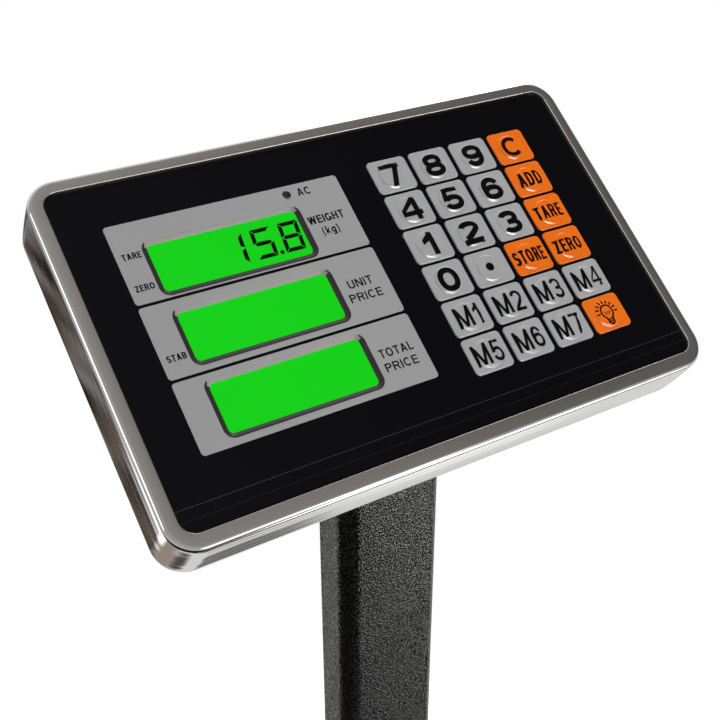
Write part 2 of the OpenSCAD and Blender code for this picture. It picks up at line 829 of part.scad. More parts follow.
module base_frame() {
    inside = rail_x - rail_w / 2;
    pad_y = platter_y + cell_l / 2 - cell_pad_l;
    color([0.13, 0.13, 0.13]) difference() {
        union() {
            for (x = [-1, 1]) rail_along_y(x * rail_x, rail_y0, bracket_front, rail_z, rail_w, rail_h);
            for (y = [rail_y0 + rail_w / 2, bracket_front - rail_w / 2])
                rail_along_x(-inside, inside, y, rail_z, rail_w, rail_h);
            rail_along_y(0, rail_y0 + rail_w, bracket_front - rail_w, rail_z, middle_w, rail_h);
            translate([-cell_w / 2, pad_y, rail_top]) cube([cell_w, cell_pad_l, cell_pad]);
            for (x = [-1, 1], y = [rail_y0, bracket_front - rail_wall])
                translate([x * rail_x - rail_w / 2, y, rail_z]) cube([rail_w, rail_wall, rail_h]);
        }
        at_feet() rod(level_r + slack, rail_z - over, rail_z + rail_wall + over);
        at_cell_bolts(1) rod(cell_bolt_r + slack, rail_z - over, cell_z + over);
        at_bracket_bolts() rotate([90, 0, 0]) translate([0, 0, -2 * over])
            cylinder(r = bolt_r + slack, h = rail_wall + 2 * over);
    }
}

// Levelling screws, the load cell's bolts and the bolts of the fold bracket
module base_bolts() {
    color([0.75, 0.75, 0.75]) {
        at_feet() {
            rod(level_r, foot_h - level_depth, rail_top - rail_wall - 2);
            rod(level_r + 4, foot_h, foot_h + washer_t);
            translate([0, 0, rail_z - 5]) cylinder(r = level_r + 4, h = 5, $fn = 6);
        }
        at_cell_bolts(1) {
            rod(cell_bolt_r, rail_z, cell_z + cell_h - 4);
            rod(cell_bolt_r + 3, rail_z - 4, rail_z);
        }
        at_cell_bolts(-1) {
            rod(cell_bolt_r, cell_z + 4, spider_z + spider_h);
            rod(cell_bolt_r + 3, spider_z + spider_h, spider_z + spider_h + 3);
        }
        at_bracket_bolts() translate([0, over, 0]) {
            rotate([90, 0, 0]) cylinder(r = bolt_r, h = rail_wall + 8);
            rotate([-90, 0, 0]) cylinder(r = bolt_r, h = fold_plate);
            translate([0, fold_plate, 0]) rotate([-90, 0, 0]) cylinder(r = bolt_r + 3.5, h = 5, $fn = 6);
        }
    }
}

module foot_pads() {
    color([0.06, 0.06, 0.06]) at_feet() difference() {
        union() {
            rod(foot_r, 0, foot_h * 0.4);
            translate([0, 0, foot_h * 0.4]) cylinder(r1 = foot_r, r2 = foot_r * 0.7, h = foot_h * 0.6);
        }
        rod(level_r + slack, foot_h - level_depth, foot_h + over);
    }
}

// A single-point load cell, with the double hole that lets it bend
module load_cell() {
    hole = cell_h * 0.3;
    color([0.8, 0.8, 0.82]) difference() {
        translate([-cell_w / 2, platter_y - cell_l / 2, cell_z]) cube([cell_w, cell_l, cell_h]);
        for (y = [-1, 1]) translate([0, platter_y + y * hole * 1.3, cell_z + cell_h / 2])
            cross_rod(hole, -cell_w, cell_w);
        translate([-cell_w, platter_y - hole * 1.3, cell_z + cell_h / 2 - hole * 0.4])
            cube([2 * cell_w, hole * 2.6, hole * 0.8]);
        at_cell_bolts(1) rod(cell_bolt_r + slack, cell_z - over, cell_z + cell_h - 3);
        at_cell_bolts(-1) rod(cell_bolt_r + slack, cell_z + 3, cell_z + cell_h + over);
        translate([0, lead_start, lead_z]) rotate([-90, 0, 0])
            cylinder(r = lead_r + slack, h = lead_depth + over);
    }
}

spider_w = 0.75 * rail_w;
spider_in = 10;     // how far the top frame stands inside the platter
spider_x = platter_w / 2 - spider_w / 2 - spider_in;
spider_y = platter_l / 2 - spider_w / 2 - spider_in;

module top_frame() {
    half = spider_y + spider_w / 2;
    inside = spider_x - spider_w / 2;
    cross_y = cell_l / 2 - cell_pad_l / 2;
    pad_z = spider_z - cell_pad;
    color([0.13, 0.13, 0.13]) difference() {
        union() {
            for (x = [-1, 1])
                rail_along_y(x * spider_x, platter_y - half, platter_y + half, spider_z, spider_w, spider_h);
            for (y = [-1, 0.55])
                rail_along_x(-inside, inside, platter_y + y * cross_y, spider_z, cell_pad_l, spider_h);
            translate([-cell_w / 2, platter_y - cell_l / 2, pad_z]) cube([cell_w, cell_pad_l, cell_pad]);
        }
        at_cell_bolts(-1) rod(cell_bolt_r + slack, pad_z - over, spider_z + spider_h + over);
    }
}

module platter_buffers() {
    color([0.06, 0.06, 0.06])
        for (x = [-1, 1], y = [-1, 1])
            translate([x * spider_x, platter_y + y * spider_y, 0])
                rod(spider_w * 0.4, buffer_z, buffer_z + buffer_t);
}

module platter() {
    color([0.75, 0.75, 0.76]) translate([0, platter_y, 0]) difference() {
        prism(platter_top - platter_skirt, platter_top) rounded(platter_w, platter_l, platter_r);
        prism(platter_top - platter_skirt - over, platter_top - platter_t)
            rounded(platter_w - 2 * platter_t, platter_l - 2 * platter_t, platter_r - platter_t);
    }
}

// The lead leaves the load cell, runs back over the rear rail and up through the bracket's floor
module base_cable() {
    bend = 4 * lead_r;
    color([0.15, 0.15, 0.15]) {
        translate([0, lead_start, lead_z]) rotate([-90, 0, 0])
            cylinder(r = lead_r, h = lead_y - bend - lead_start);
        translate([0, lead_y - bend, lead_z + bend]) rotate([90, 0, 90]) rotate([0, 0, -90])
            rotate_extrude(angle = 90) translate([bend, 0]) circle(lead_r);
        translate([0, lead_y, 0]) rod(lead_r, lead_z + bend, fold_floor);
    }
}

head_pan();
overlay_panel();
ac_lamp();
display_frame();
display(0);  // weight_display
display(1);  // unit_price_display
display(2);  // total_price_display
backlights();
display_board();
key_board();
key_domes();
back_cover();
battery();
battery_door();
head_screws();
power_switch();
power_rocker();
charge_socket();
tilt_bracket();
tilt_bolt();
tilt_knob();
column_tube();
column_cap();
column_sleeves();
column_cable();
fold_bracket();
fold_bolt();
fold_knob();
base_frame();
base_bolts();
foot_pads();
load_cell();
top_frame();
platter_buffers();
platter();
base_cable();
for (row = [0:key_rows - 1], column = [0:key_columns - 1])
    key(row, column);
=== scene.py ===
"""The retail price scale's looks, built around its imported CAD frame. Everything is in metres."""

import json
import math

import bmesh
import bpy
from mathutils import Matrix, Vector

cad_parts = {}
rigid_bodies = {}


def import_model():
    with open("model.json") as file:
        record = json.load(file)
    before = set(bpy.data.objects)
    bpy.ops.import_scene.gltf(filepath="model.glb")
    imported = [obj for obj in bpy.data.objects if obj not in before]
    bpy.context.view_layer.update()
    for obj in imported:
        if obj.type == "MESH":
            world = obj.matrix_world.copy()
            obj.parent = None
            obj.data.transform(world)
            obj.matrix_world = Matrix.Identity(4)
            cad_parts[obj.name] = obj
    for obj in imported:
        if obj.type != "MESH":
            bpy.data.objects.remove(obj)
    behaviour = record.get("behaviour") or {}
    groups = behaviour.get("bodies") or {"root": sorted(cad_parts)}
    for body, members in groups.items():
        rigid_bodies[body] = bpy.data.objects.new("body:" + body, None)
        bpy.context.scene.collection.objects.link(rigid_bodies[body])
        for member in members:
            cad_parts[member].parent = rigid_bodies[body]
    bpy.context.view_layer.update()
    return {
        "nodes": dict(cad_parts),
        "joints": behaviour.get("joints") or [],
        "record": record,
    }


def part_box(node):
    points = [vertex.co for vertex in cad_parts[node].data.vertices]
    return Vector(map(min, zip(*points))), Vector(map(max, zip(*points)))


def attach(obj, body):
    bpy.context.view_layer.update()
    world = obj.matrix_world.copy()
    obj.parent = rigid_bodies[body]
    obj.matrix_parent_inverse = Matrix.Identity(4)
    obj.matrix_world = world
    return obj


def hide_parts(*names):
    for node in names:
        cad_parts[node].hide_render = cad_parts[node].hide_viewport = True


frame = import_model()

MM = 0.001
NODES = frame["nodes"]
JOINTS = {j["name"]: j for j in frame["joints"]}
BODY_OF = {n: b for b, ns in frame["record"]["behaviour"]["bodies"].items() for n in ns}

# ---- The panel's own frame: X right, Y up the panel, Z out of its face, from the overlay's middle ----

KEY_ROWS = [["7", "8", "9", "c"], ["4", "5", "6", "add"], ["1", "2", "3", "tare"],
            ["0", "point", "store", "zero"], ["m1", "m2", "m3", "m4"], ["m5", "m6", "m7", "light"]]
OUT = -Vector(JOINTS["key_7_press"]["axis"]).normalized()
RIGHT = Vector((1, 0, 0))
UP = OUT.cross(RIGHT)


def extent(points):
    """The lowest and highest coordinates of some points."""
    return [[pick(p[i] for p in points) for i in range(3)] for pick in (min, max)]


def node_points(node):
    return [v.co for v in NODES[node].data.vertices]


def panel_matrix():
    axes = Matrix((RIGHT, UP, OUT)).transposed().to_4x4()
    low, high = extent([axes.inverted() @ p for p in node_points("overlay_panel")])
    middle = [(a + b) / 2 for a, b in zip(low[:2], high)]
    return Matrix.Translation(axes @ Vector((*middle, high[2]))) @ axes


PANEL = panel_matrix()
TO_PANEL = PANEL.inverted()


def panel_box(node):
    """The lowest and highest corner of a CAD node in the panel's frame."""
    return [Vector(corner) for corner in extent([TO_PANEL @ p for p in node_points(node)])]


# ---- Mesh helpers ----

def added(name, data):
    """A new object in the scene."""
    obj = bpy.data.objects.new(name, data)
    bpy.context.scene.collection.objects.link(obj)
    return obj


def piece(name, shape, body, materials, matrix=None, replaces=(), smooth=35, grain=None):
    """A mesh object in the row frame, riding on a body. A shape is its points and its faces, and each face is
    (indices, material number)."""
    verts, faces = shape
    mesh = bpy.data.meshes.new(name)
    mesh.from_pydata([tuple(v) for v in verts], [], [face for face, _ in faces])
    for material in materials if isinstance(materials, list) else [materials]:
        mesh.materials.append(material)
    for polygon, (_, mark) in zip(mesh.polygons, faces):
        polygon.material_index = mark
    if grain:
        ring_grain(mesh, grain)
    if matrix is not None:
        mesh.transform(matrix)
    return finish_piece(name, mesh, body, replaces, smooth)


def on_panel(name, shape, materials, replaces=(), smooth=30, grain=None):
    """A piece of the head, drawn in the panel's frame."""
    return piece(name, shape, "head", materials, PANEL, replaces, smooth, grain)


def ring_grain(mesh, rings):
    """A map for the brushing: along the rings in one direction and across them in the other, in metres."""
    def distances(points):
        """How far each point of a closed line is from its start, and the start again from itself."""
        out = [0.0]
        for a, b in zip(points, points[1:] + points[:1]):
            out.append(out[-1] + (Vector(a) - Vector(b)).length)
        return out

    n = len(rings[0])
    along, across = distances(rings[0]), distances([ring[0] for ring in rings])
    layer = mesh.uv_layers.new(name="grain")
    for k, polygon in enumerate(mesh.polygons):
        i, band = k % n, k // n
        for loop in polygon.loop_indices:
            ring, at = divmod(mesh.loops[loop].vertex_index, n)
            u = along[n] if i == n - 1 and at == 0 else along[at]
            v = across[len(rings)] if band == len(rings) - 1 and ring == 0 else across[ring]
            layer.data[loop].uv = (u, v)


def finish_piece(name, mesh, body, replaces, smooth):
    """Shades a mesh smooth up to an angle in degrees, and makes it a piece."""
    mesh.validate()
    bm = bmesh.new()
    bm.from_mesh(mesh)
    bmesh.ops.recalc_face_normals(bm, faces=bm.faces)
    bm.to_mesh(mesh)
    bm.free()
    mesh.shade_smooth()
    mesh.set_sharp_from_angle(angle=math.radians(smooth))
    obj = added(name, mesh)
    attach(obj, body)
    if replaces:
        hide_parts(*replaces)
    return obj


def arc(cx, cy, r, a0, a1, steps):
    """Points on a circle between two angles in degrees."""
    angles = [math.radians(a0 + (a1 - a0) * i / steps) for i in range(steps + 1)]
    return [(cx + r * math.cos(a), cy + r * math.sin(a)) for a in angles]


def circle(r, steps, cx=0.0, cy=0.0):
    return arc(cx, cy, r, 0, 360, steps)[:-1]


def rectangle(x0, y0, x1, y1):
    return [(x0, y0), (x1, y0), (x1, y1), (x0, y1)]


def outline(w, h, r, steps=10, cx=0.0, cy=0.0, flats=0):
    """A rectangle with round corners, anticlockwise from the right end of its lower side. flats is the number
    of points along each side."""
    corners = ((1, -1, -90), (1, 1, 0), (-1, 1, 90), (-1, -1, 180))
    arcs = [arc(cx + sx * (w / 2 - r), cy + sy * (h / 2 - r), r, a, a + 90, steps) for sx, sy, a in corners]
    points = []
    for corner, following in zip(arcs, arcs[1:] + arcs[:1]):
        (x0, y0), (x1, y1) = corner[-1], following[0]
        shares = [j / (flats + 1) for j in range(1, flats + 1)]
        points += corner + [(x0 + (x1 - x0) * share, y0 + (y1 - y0) * share) for share in shares]
    return points


def level(line, z):
    """The points of a flat line at one height."""
    return [(x, y, z) for x, y in line]


def loft(rings, closed=False, caps=True, marks=None):
    """Skins rings of points. marks gives the material number of each band."""
    n = len(rings[0])
    verts = [p for ring in rings for p in ring]
    faces = []
    bands = len(rings) if closed else len(rings) - 1
    for k in range(bands):
        a, b = k * n, (k + 1) % len(rings) * n
        mark = marks[k] if marks else 0
        for i in range(n):
            j = (i + 1) % n
            faces.append(((a + i, a + j, b + j, b + i), mark))
    if caps and not closed:
        faces.append((tuple(range(n - 1, -1, -1)), marks[0] if marks else 0))
        faces.append((tuple(range(len(verts) - n, len(verts))), marks[-1] if marks else 0))
    return verts, faces


def prism(line, low, high):
    """A solid between two heights."""
    return loft([level(line, low), level(line, high)])


def lathe(profile, steps=48):
    """Turns (radius, height) points about Z."""
    return loft([level(circle(r, steps), z) for r, z in profile])


def join(parts):
    """One vertex and face list out of several."""
    verts, faces = [], []
    for v, f in parts:
        base = len(verts)
        verts += [tuple(p) for p in v]
        faces += [(tuple(i + base for i in face), mark) for face, mark in f]
    return verts, faces


def moved(part, matrix):
    return [matrix @ Vector(p) for p in part[0]], part[1]


def soften(node, width, material):
    """A copy of a CAD node with its edges rounded by a width in millimetres, which stands for it."""
    name = node + "_finished"
    bm = bmesh.new()
    bm.from_mesh(NODES[node].data)
    bmesh.ops.remove_doubles(bm, verts=bm.verts, dist=0.002 * MM)
    bmesh.ops.dissolve_limit(bm, angle_limit=math.radians(1.0), verts=bm.verts, edges=bm.edges)
    mesh = bpy.data.meshes.new(name)
    bm.to_mesh(mesh)
    bm.free()
    mesh.materials.clear()
    mesh.materials.append(material)
    for polygon in mesh.polygons:
        polygon.material_index = 0
    obj = added(name, mesh)
    bevel = obj.modifiers.new("bevel", "BEVEL")
    bevel.width = width * MM
    bevel.segments = 2
    bevel.limit_method = "ANGLE"
    bevel.angle_limit = math.radians(32)
    bevel.use_clamp_overlap = True
    done = bpy.data.meshes.new_from_object(obj.evaluated_get(bpy.context.evaluated_depsgraph_get()))
    bpy.data.objects.remove(obj)
    finish_piece(name, done, BODY_OF[node], (node,), smooth=30)


# ---- Materials ----

class Graph:
    """The emptied node tree of a material or a world, with short ways to add to it."""

    def __init__(self, owner):
        owner.use_nodes = True
        self.tree = owner.node_tree
        self.tree.nodes.clear()

    def feed(self, socket, value):
        """Links an output to an input, or sets a value. A colour is three values, or one for a grey."""
        if isinstance(value, bpy.types.NodeSocket):
            self.tree.links.new(value, socket)
        else:
            if socket.type == "RGBA":
                value = (*(value if isinstance(value, tuple) else (value, value, value)), 1)
            socket.default_value = value

    def node(self, kind, *inputs, **values):
        """A node with its first inputs in order, and its settings and other inputs by name."""
        n = self.tree.nodes.new("ShaderNode" + kind)
        for key, value in values.items():
            if hasattr(n, key):
                setattr(n, key, value)
            else:
                self.feed(n.inputs[key.replace("_", " ")], value)
        for socket, value in zip(n.inputs, inputs):
            self.feed(socket, value)
        return n

    def math(self, operation, a, b):
        return self.node("Math", a, b, operation=operation).outputs[0]

    def mix(self, share, a, b):
        """A colour between two others."""
        n = self.node("Mix", share, data_type="RGBA")
        self.feed(n.inputs[6], a)
        self.feed(n.inputs[7], b)
        return n.outputs[2]

    def ramp(self, value, stops):
        """Colours between (place, colour) stops."""
        r = self.node("ValToRGB", value)
        elements = r.color_ramp.elements
        while len(elements) < len(stops):
            elements.new(0.5)
        for e, (at, color) in zip(elements, stops):
            e.position = at
            e.color = (*color, 1)
        return r.outputs["Color"]

    def span(self, value, low, high, source=(0.0, 1.0), **settings):
        """A value moved from its source range to another."""
        return self.node("MapRange", value, *source, low, high, **settings).outputs["Result"]


class Shader(Graph):
    """A Principled material with helpers for its procedural detail. Its colour is given as a monitor shows it."""

    def __init__(self, name, color, rough, metal=0.0, **sockets):
        self.material = bpy.data.materials.new(name)
        super().__init__(self.material)
        self.color = srgb(*color)
        self.bsdf = self.node("BsdfPrincipled", Base_Color=self.color, Roughness=rough, Metallic=metal, **sockets)
        self.node("OutputMaterial", self.bsdf.outputs["BSDF"])
        self.coords = self.node("TexCoord")
        self.normal = None

    def noise(self, scale, detail=3, stretch=(1, 1, 1), roughness=0.5, source="Object"):
        place = self.node("Mapping", self.coords.outputs[source], Scale=stretch).outputs["Vector"]
        return self.node("TexNoise", place, Scale=scale, Detail=detail, Roughness=roughness).outputs["Fac"]

    def drive(self, socket, value):
        self.feed(self.bsdf.inputs[socket], value)

    def vary_rough(self, value, low, high, source=(0.3, 0.7)):
        self.drive("Roughness", self.span(value, low, high, source))

    def vary_color(self, value, low, high, source=(0.3, 0.7)):
        """Colour between two shades of the base."""
        stops = [(at, tuple(c * share for c in self.color)) for at, share in zip(source, (low, high))]
        self.drive("Base Color", self.ramp(value, stops))

    def raise_by(self, value, strength, distance):
        """Adds a bump of that depth, in metres."""
        bump = self.node("Bump", Height=value, Strength=strength, Distance=distance)
        if self.normal:
            self.feed(bump.inputs["Normal"], self.normal)
        self.normal = bump.outputs["Normal"]
        self.drive("Normal", self.normal)


def brushed_steel(name, color, low, high, stretch, bump=0.012, source="Object"):
    s = Shader(name, color, (low + high) / 2, 1.0)
    grain = s.noise(55, 5, stretch, 0.6, source)
    broad = s.noise(9, 2)
    s.vary_rough(grain, low, high)
    s.vary_color(broad, 0.94, 1.05)
    s.raise_by(grain, 0.35, bump * MM)
    return s.material


def polished_steel(name, color):
    """Mirror-like steel with the long shallow waves and faint lines that drawing and polishing leave."""
    s = Shader(name, color, 0.08, 1.0)
    lines = s.noise(60, 4, (0.4, 22, 1), 0.6, "UV")
    waves = s.noise(18, 2, (0.35, 9, 1), 0.5, "UV")
    s.vary_rough(lines, 0.05, 0.12)
    s.raise_by(waves, 1.0, 0.22 * MM)
    s.raise_by(lines, 0.3, 0.004 * MM)
    return s.material


def plastic(name, color, rough, grain=900, bump=0.02, vary=0.06, **sockets):
    s = Shader(name, color, rough, 0.0, **sockets)
    fine = s.noise(grain, 3)
    broad = s.noise(14, 3)
    s.vary_rough(broad, rough * 0.86, rough * 1.12)
    s.vary_color(broad, 1 - vary, 1 + vary)
    s.raise_by(fine, 0.4, bump * MM)
    return s.material


def hammered_paint(name, color):
    """A hammered powder coat: small shiny domes with dark gaps between them."""
    s = Shader(name, color, 0.3, Specular_IOR_Level=0.85)
    place = s.node("Mapping", s.coords.outputs["Object"]).outputs["Vector"]
    cell = s.node("TexVoronoi", place, feature="SMOOTH_F1", Scale=900.0, Randomness=1.0, Smoothness=0.3)
    cell = cell.outputs["Distance"]
    patch = s.noise(420, 3)
    dome_to_gap = (0.28, 0.58)
    s.vary_color(cell, 1.3, 0.3, dome_to_gap)
    s.drive("Specular IOR Level", s.span(cell, 1.0, 0.12, dome_to_gap))
    s.vary_rough(patch, 0.1, 0.17)
    s.raise_by(s.span(cell, 1.0, 0.0, (0.0, 0.8)), 1.0, 0.16 * MM)
    s.raise_by(patch, 0.6, 0.06 * MM)
    return s.material


def glow(name, color, strength):
    """A lit display: its own light with a faint unevenness, under a slightly glossy face."""
    s = Shader(name, color, 0.35, Specular_IOR_Level=0.25, Emission_Strength=strength)
    s.drive("Base Color", tuple(c * 0.02 for c in s.color))
    dim = tuple(c * 0.96 for c in s.color)
    s.drive("Emission Color", s.ramp(s.noise(22, 2), [(0.3, dim), (0.7, s.color)]))
    return s.material


def srgb(*values):
    """Linear colour from 0-255 values as a monitor shows them."""
    out = []
    for v in values:
        v /= 255
        out.append(v / 12.92 if v <= 0.04045 else ((v + 0.055) / 1.055) ** 2.4)
    return tuple(out)


MAT = {
    "rim": brushed_steel("rim_steel", (228, 221, 214), 0.26, 0.3, (1.5, 40, 1), 0.001, "UV"),
    "wall": polished_steel("wall_steel", (236, 235, 233)),
    "platter": brushed_steel("platter_steel", (198, 198, 200), 0.22, 0.36, (0.35, 16, 16), 0.012),
    "overlay": plastic("overlay_film", (8, 8, 11), 0.12, 2500, 0.001, 0.03, Specular_IOR_Level=0.14),
    "film_line": plastic("film_edge", (52, 52, 56), 0.25, 2500, 0.001),
    "plate": plastic("printed_silver", (151, 151, 151), 0.42, 3200, 0.012, 0.02),
    "ink": plastic("printed_black", (6, 6, 7), 0.5, 2500, 0.002, Specular_IOR_Level=0.1),
    "key_grey": plastic("key_silver", (160, 160, 161), 0.22, 3000, 0.004, 0.02, Specular_IOR_Level=0.8),
    "key_orange": plastic("key_orange", (228, 106, 3), 0.22, 3000, 0.004, 0.02, Specular_IOR_Level=0.6),
    # The window lip's dark colour is painted shade for its unlit sides, and the next one is a painted highlight
    # for its upper side
    "lip": plastic("window_lip", (42, 40, 38), 0.3, 2500, 0.003),
    "lip_painted_highlight": plastic("window_lip_painted_highlight", (150, 148, 145), 0.35, 2500, 0.003),
    # The display frame's own grey, darkened as painted shade for the recess around the displays
    "well": plastic("well_grey_painted_shade", (104, 107, 98), 0.4, 2200, 0.01),
    "lcd": glow("display_green", (14, 207, 20), 1.0),
    "segment": plastic("segment_black", (2, 7, 3), 0.3, 2500, 0.001, Specular_IOR_Level=0.15),
    "lamp": plastic("lamp_lens", (20, 20, 22), 0.15, 2500, 0.001, Coat_Weight=0.6),
    "hammer": hammered_paint("hammered_charcoal", (25, 25, 24)),
    "frame": plastic("frame_black", (34, 34, 35), 0.42, 1400, 0.04),
    "cover": plastic("cover_black", (36, 36, 38), 0.5, 1700, 0.05),
    "knob": plastic("knob_black", (26, 26, 27), 0.4, 1700, 0.03),
    "rubber": plastic("rubber_black", (30, 30, 30), 0.7, 1300, 0.05),
    "zinc": brushed_steel("zinc_steel", (190, 190, 184), 0.22, 0.4, (3, 3, 3), 0.006),
    "aluminium": brushed_steel("milled_aluminium", (205, 206, 210), 0.25, 0.4, (0.5, 10, 10), 0.01),
    "board": plastic("solder_mask", (22, 84, 40), 0.3, 900, 0.02),
    "guide": plastic("light_guide", (220, 232, 220), 0.4, 900, 0.01),
    "battery": plastic("battery_case", (62, 64, 70), 0.45, 1100, 0.03),
    "switch": plastic("switch_black", (20, 20, 21), 0.25, 1500, 0.01),
    "rocker": plastic("rocker_red", (178, 22, 18), 0.22, 1500, 0.004, Coat_Weight=0.3),
    "cable": plastic("cable_jacket", (28, 28, 29), 0.5, 1200, 0.02),
}

# ---- Head pan ----

RIM_LOW, RIM_HIGH = panel_box("head_pan")
FILM_LOW, FILM_HIGH = panel_box("overlay_panel")
HEAD_W = RIM_HIGH.x - RIM_LOW.x
HEAD_H = RIM_HIGH.y - RIM_LOW.y
HEAD_R = 15 * MM
FILM_W = FILM_HIGH.x - FILM_LOW.x
FILM_R = 7 * MM
RIM_W = (HEAD_W - FILM_W) / 2
# How much wider and deeper than the CAD's the visible pan is, on its left, at its front and at its back
PAN_LEFT, PAN_FRONT, PAN_DEEP = 0.8 * MM, 1.3 * MM, 2.8 * MM


def head_ring(inset, height):
    """The pan's outline at an inset. Its extra width fades out towards the film."""
    share = min(max(inset / RIM_W, 0), 1)
    r = HEAD_R + (FILM_R - HEAD_R) * share
    if inset > RIM_W:
        r = max(FILM_R - (inset - RIM_W), 2 * MM)
    wide_x, wide_y = (v * min(1, 1.5 * (1 - share)) for v in (PAN_LEFT, PAN_FRONT))
    w, h = HEAD_W - 2 * inset + wide_x, HEAD_H - 2 * inset + wide_y
    return level(outline(w, h, r, 14, -wide_x / 2, -wide_y / 2), height)


def head_pan():
    """The drawn steel pan: a rolled outer edge, a satin rim and a polished wall around the sides."""
    top, low, floor_z = RIM_HIGH.z, RIM_LOW.z - PAN_DEEP, FILM_LOW.z
    edge, wall, lip, foot, draw, ledge = (v * MM for v in (2.2, 1.2, 0.4, 1.0, 0.3, 5))
    rise = low + foot - top + edge
    side = [(draw * (k / 4) ** 2, top - edge + rise * (0.5 - k / 8)) for k in range(-3, 4)]
    outer = arc(foot + draw, low + foot, foot, 270, 180, 5) + side
    rolled = arc(edge + draw, top - edge, edge, 180, 90, 9)
    inner = arc(RIM_W - lip, top - lip, lip, 90, 0, 5)
    tray = [(RIM_W, floor_z - 0.02 * MM), (RIM_W + ledge, floor_z - 0.02 * MM), (RIM_W + ledge, floor_z - wall)]
    under = [(RIM_W - wall, floor_z - wall), (RIM_W - wall, top - wall), (edge, top - wall)]
    inside = arc(edge, top - edge, edge - wall, 90, 180, 5)[1:] + [(wall, low + 0.6 * MM)]
    profile = outer + rolled + inner + tray + under + inside
    polished = len(outer) + len(rolled) - 1
    marks = [1] * polished + [0] * (len(profile) - polished)
    rings = [head_ring(d, z) for d, z in profile]
    on_panel("head_pan_shell", loft(rings, closed=True, marks=marks), [MAT["rim"], MAT["wall"]],
             ("head_pan",), 40, rings)


# ---- Overlay, plates and windows ----

WINDOW_NODES = ["weight_display", "unit_price_display", "total_price_display"]
WINDOW_R = 4 * MM
DISPLAY_LAP = 2.35 * MM
GLASS_INSET = 1.75 * MM
GLASS_Z = -1.1 * MM
INK = 0.03 * MM
PLATE_LEFT, PLATE_RIGHT, PLATE_R = -115.4 * MM, -0.3 * MM, 1.7 * MM
PLATE_SPANS = [(58.7 * MM, 19.5 * MM), (18.1 * MM, -16.5 * MM), (-17.9 * MM, -51.2 * MM)]
PLATE_GAP = 0.6 * MM
# How far out of the window, and how high over the ink, a lip's surface lies, from outside to the glass
LIP = ((0.85 * MM, 0.01 * MM), (0.65 * MM, 0.14 * MM), (0.3 * MM, 0.16 * MM), (-0.1 * MM, -0.02 * MM),
       (-GLASS_INSET, GLASS_Z - 0.08 * MM))
# The middle and width of the lines at the edge of the clear strip along the bottom of the overlay
FILM_LINES = ((-68.8 * MM, 0.22 * MM), (-73.9 * MM, 0.07 * MM))


def window_box(node):
    """Middle and size of the window over a display, and the display's face."""
    low, high = panel_box(node)
    return (low + high) / 2, high.x - low.x - 2 * DISPLAY_LAP, high.y - low.y - 2 * DISPLAY_LAP, high.z


def plates():
    """The silver plate around each window."""
    for node, (top, bottom) in zip(WINDOW_NODES, PLATE_SPANS):
        mid, w, h, _ = window_box(node)
        cx, cy = (PLATE_LEFT + PLATE_RIGHT) / 2, (top + bottom) / 2
        outer = outline(PLATE_RIGHT - PLATE_LEFT, top - bottom, PLATE_R, 10, cx, cy)
        inner = outline(w + 2 * PLATE_GAP, h + 2 * PLATE_GAP, WINDOW_R + PLATE_GAP, 10, mid.x, mid.y)
        low = 0.005 * MM
        rings = [level(line, z) for line, z in ((outer, low), (outer, INK), (inner, INK), (inner, low))]
        on_panel(node + "_plate", loft(rings, closed=True), MAT["plate"])


def window_lips():
    """The bevelled surround of each window: a painted highlight on its upper side and painted shade on its other
    sides.
    """
    for node in WINDOW_NODES:
        mid, w, h, _ = window_box(node)
        lines = [outline(w + 2 * out, h + 2 * out, WINDOW_R + out, 10, mid.x, mid.y) for out, _ in LIP]
        rings = [level(line, INK + z) for line, (_, z) in zip(lines, LIP)]
        foot = GLASS_Z - 0.2 * MM
        rings += [level(lines[-1], foot), level(lines[3], foot), level(lines[3], 0.004 * MM)]
        verts, faces = loft(rings, closed=True)
        shaded = []
        for face, _ in faces:
            x = sum(verts[i][0] for i in face) / 4 - mid.x
            y = sum(verts[i][1] for i in face) / 4 - mid.y
            # Faces along the upper side get the painted highlight, all others the painted shade
            painted_highlight_side = y > h / 2 - 2.4 * MM and abs(x) < w / 2 - WINDOW_R * 0.3
            shaded.append((face, 1 if painted_highlight_side else 0))
        on_panel(node + "_lip", (verts, shaded), [MAT["lip"], MAT["lip_painted_highlight"]], smooth=40)


def display_faces():
    """The lit front of each display, close under the film."""
    for node in WINDOW_NODES:
        mid, w, h, face = window_box(node)
        cut = GLASS_INSET - 0.15 * MM
        line = outline(w - 2 * cut, h - 2 * cut, WINDOW_R - cut, 10, mid.x, mid.y)
        glass = on_panel(node + "_face", prism(line, face - 0.02 * MM, GLASS_Z), MAT["lcd"])
        glass.visible_diffuse = glass.visible_glossy = False


def ac_lamp():
    """The mains lamp: a low black lens that stands through the plate."""
    low, high = panel_box("ac_lamp")
    mid = (low + high) / 2
    r, foot, rise, axis = (high.x - low.x) / 2 + 0.15 * MM, INK + 0.1 * MM, 0.55 * MM, 0.001 * MM
    crown = [(r * math.cos(a), foot + rise * math.sin(a)) for a in (0.35, 0.7, 1.05, 1.35)]
    lens = lathe([(axis, low.z), (r, low.z), (r, foot)] + crown + [(axis, foot + rise)], 32)
    place = PANEL @ Matrix.Translation((mid.x, mid.y, 0))
    piece("ac_lamp_lens", lens, "head", MAT["lamp"], place, ("ac_lamp",), 50)


def film_lines():
    for i, (y, width) in enumerate(FILM_LINES):
        x, half = (FILM_W - 1.0 * MM) / 2, width / 2
        line = prism(rectangle(-x, y - half, x, y + half), 0.002 * MM, 0.02 * MM)
        on_panel(f"film_line_{i + 1}", line, MAT["film_line"])


# ---- Displays ----

SEGMENTS = {"1": "bc", "5": "afgcd", "8": "abcdefg"}  # of the digits that are shown


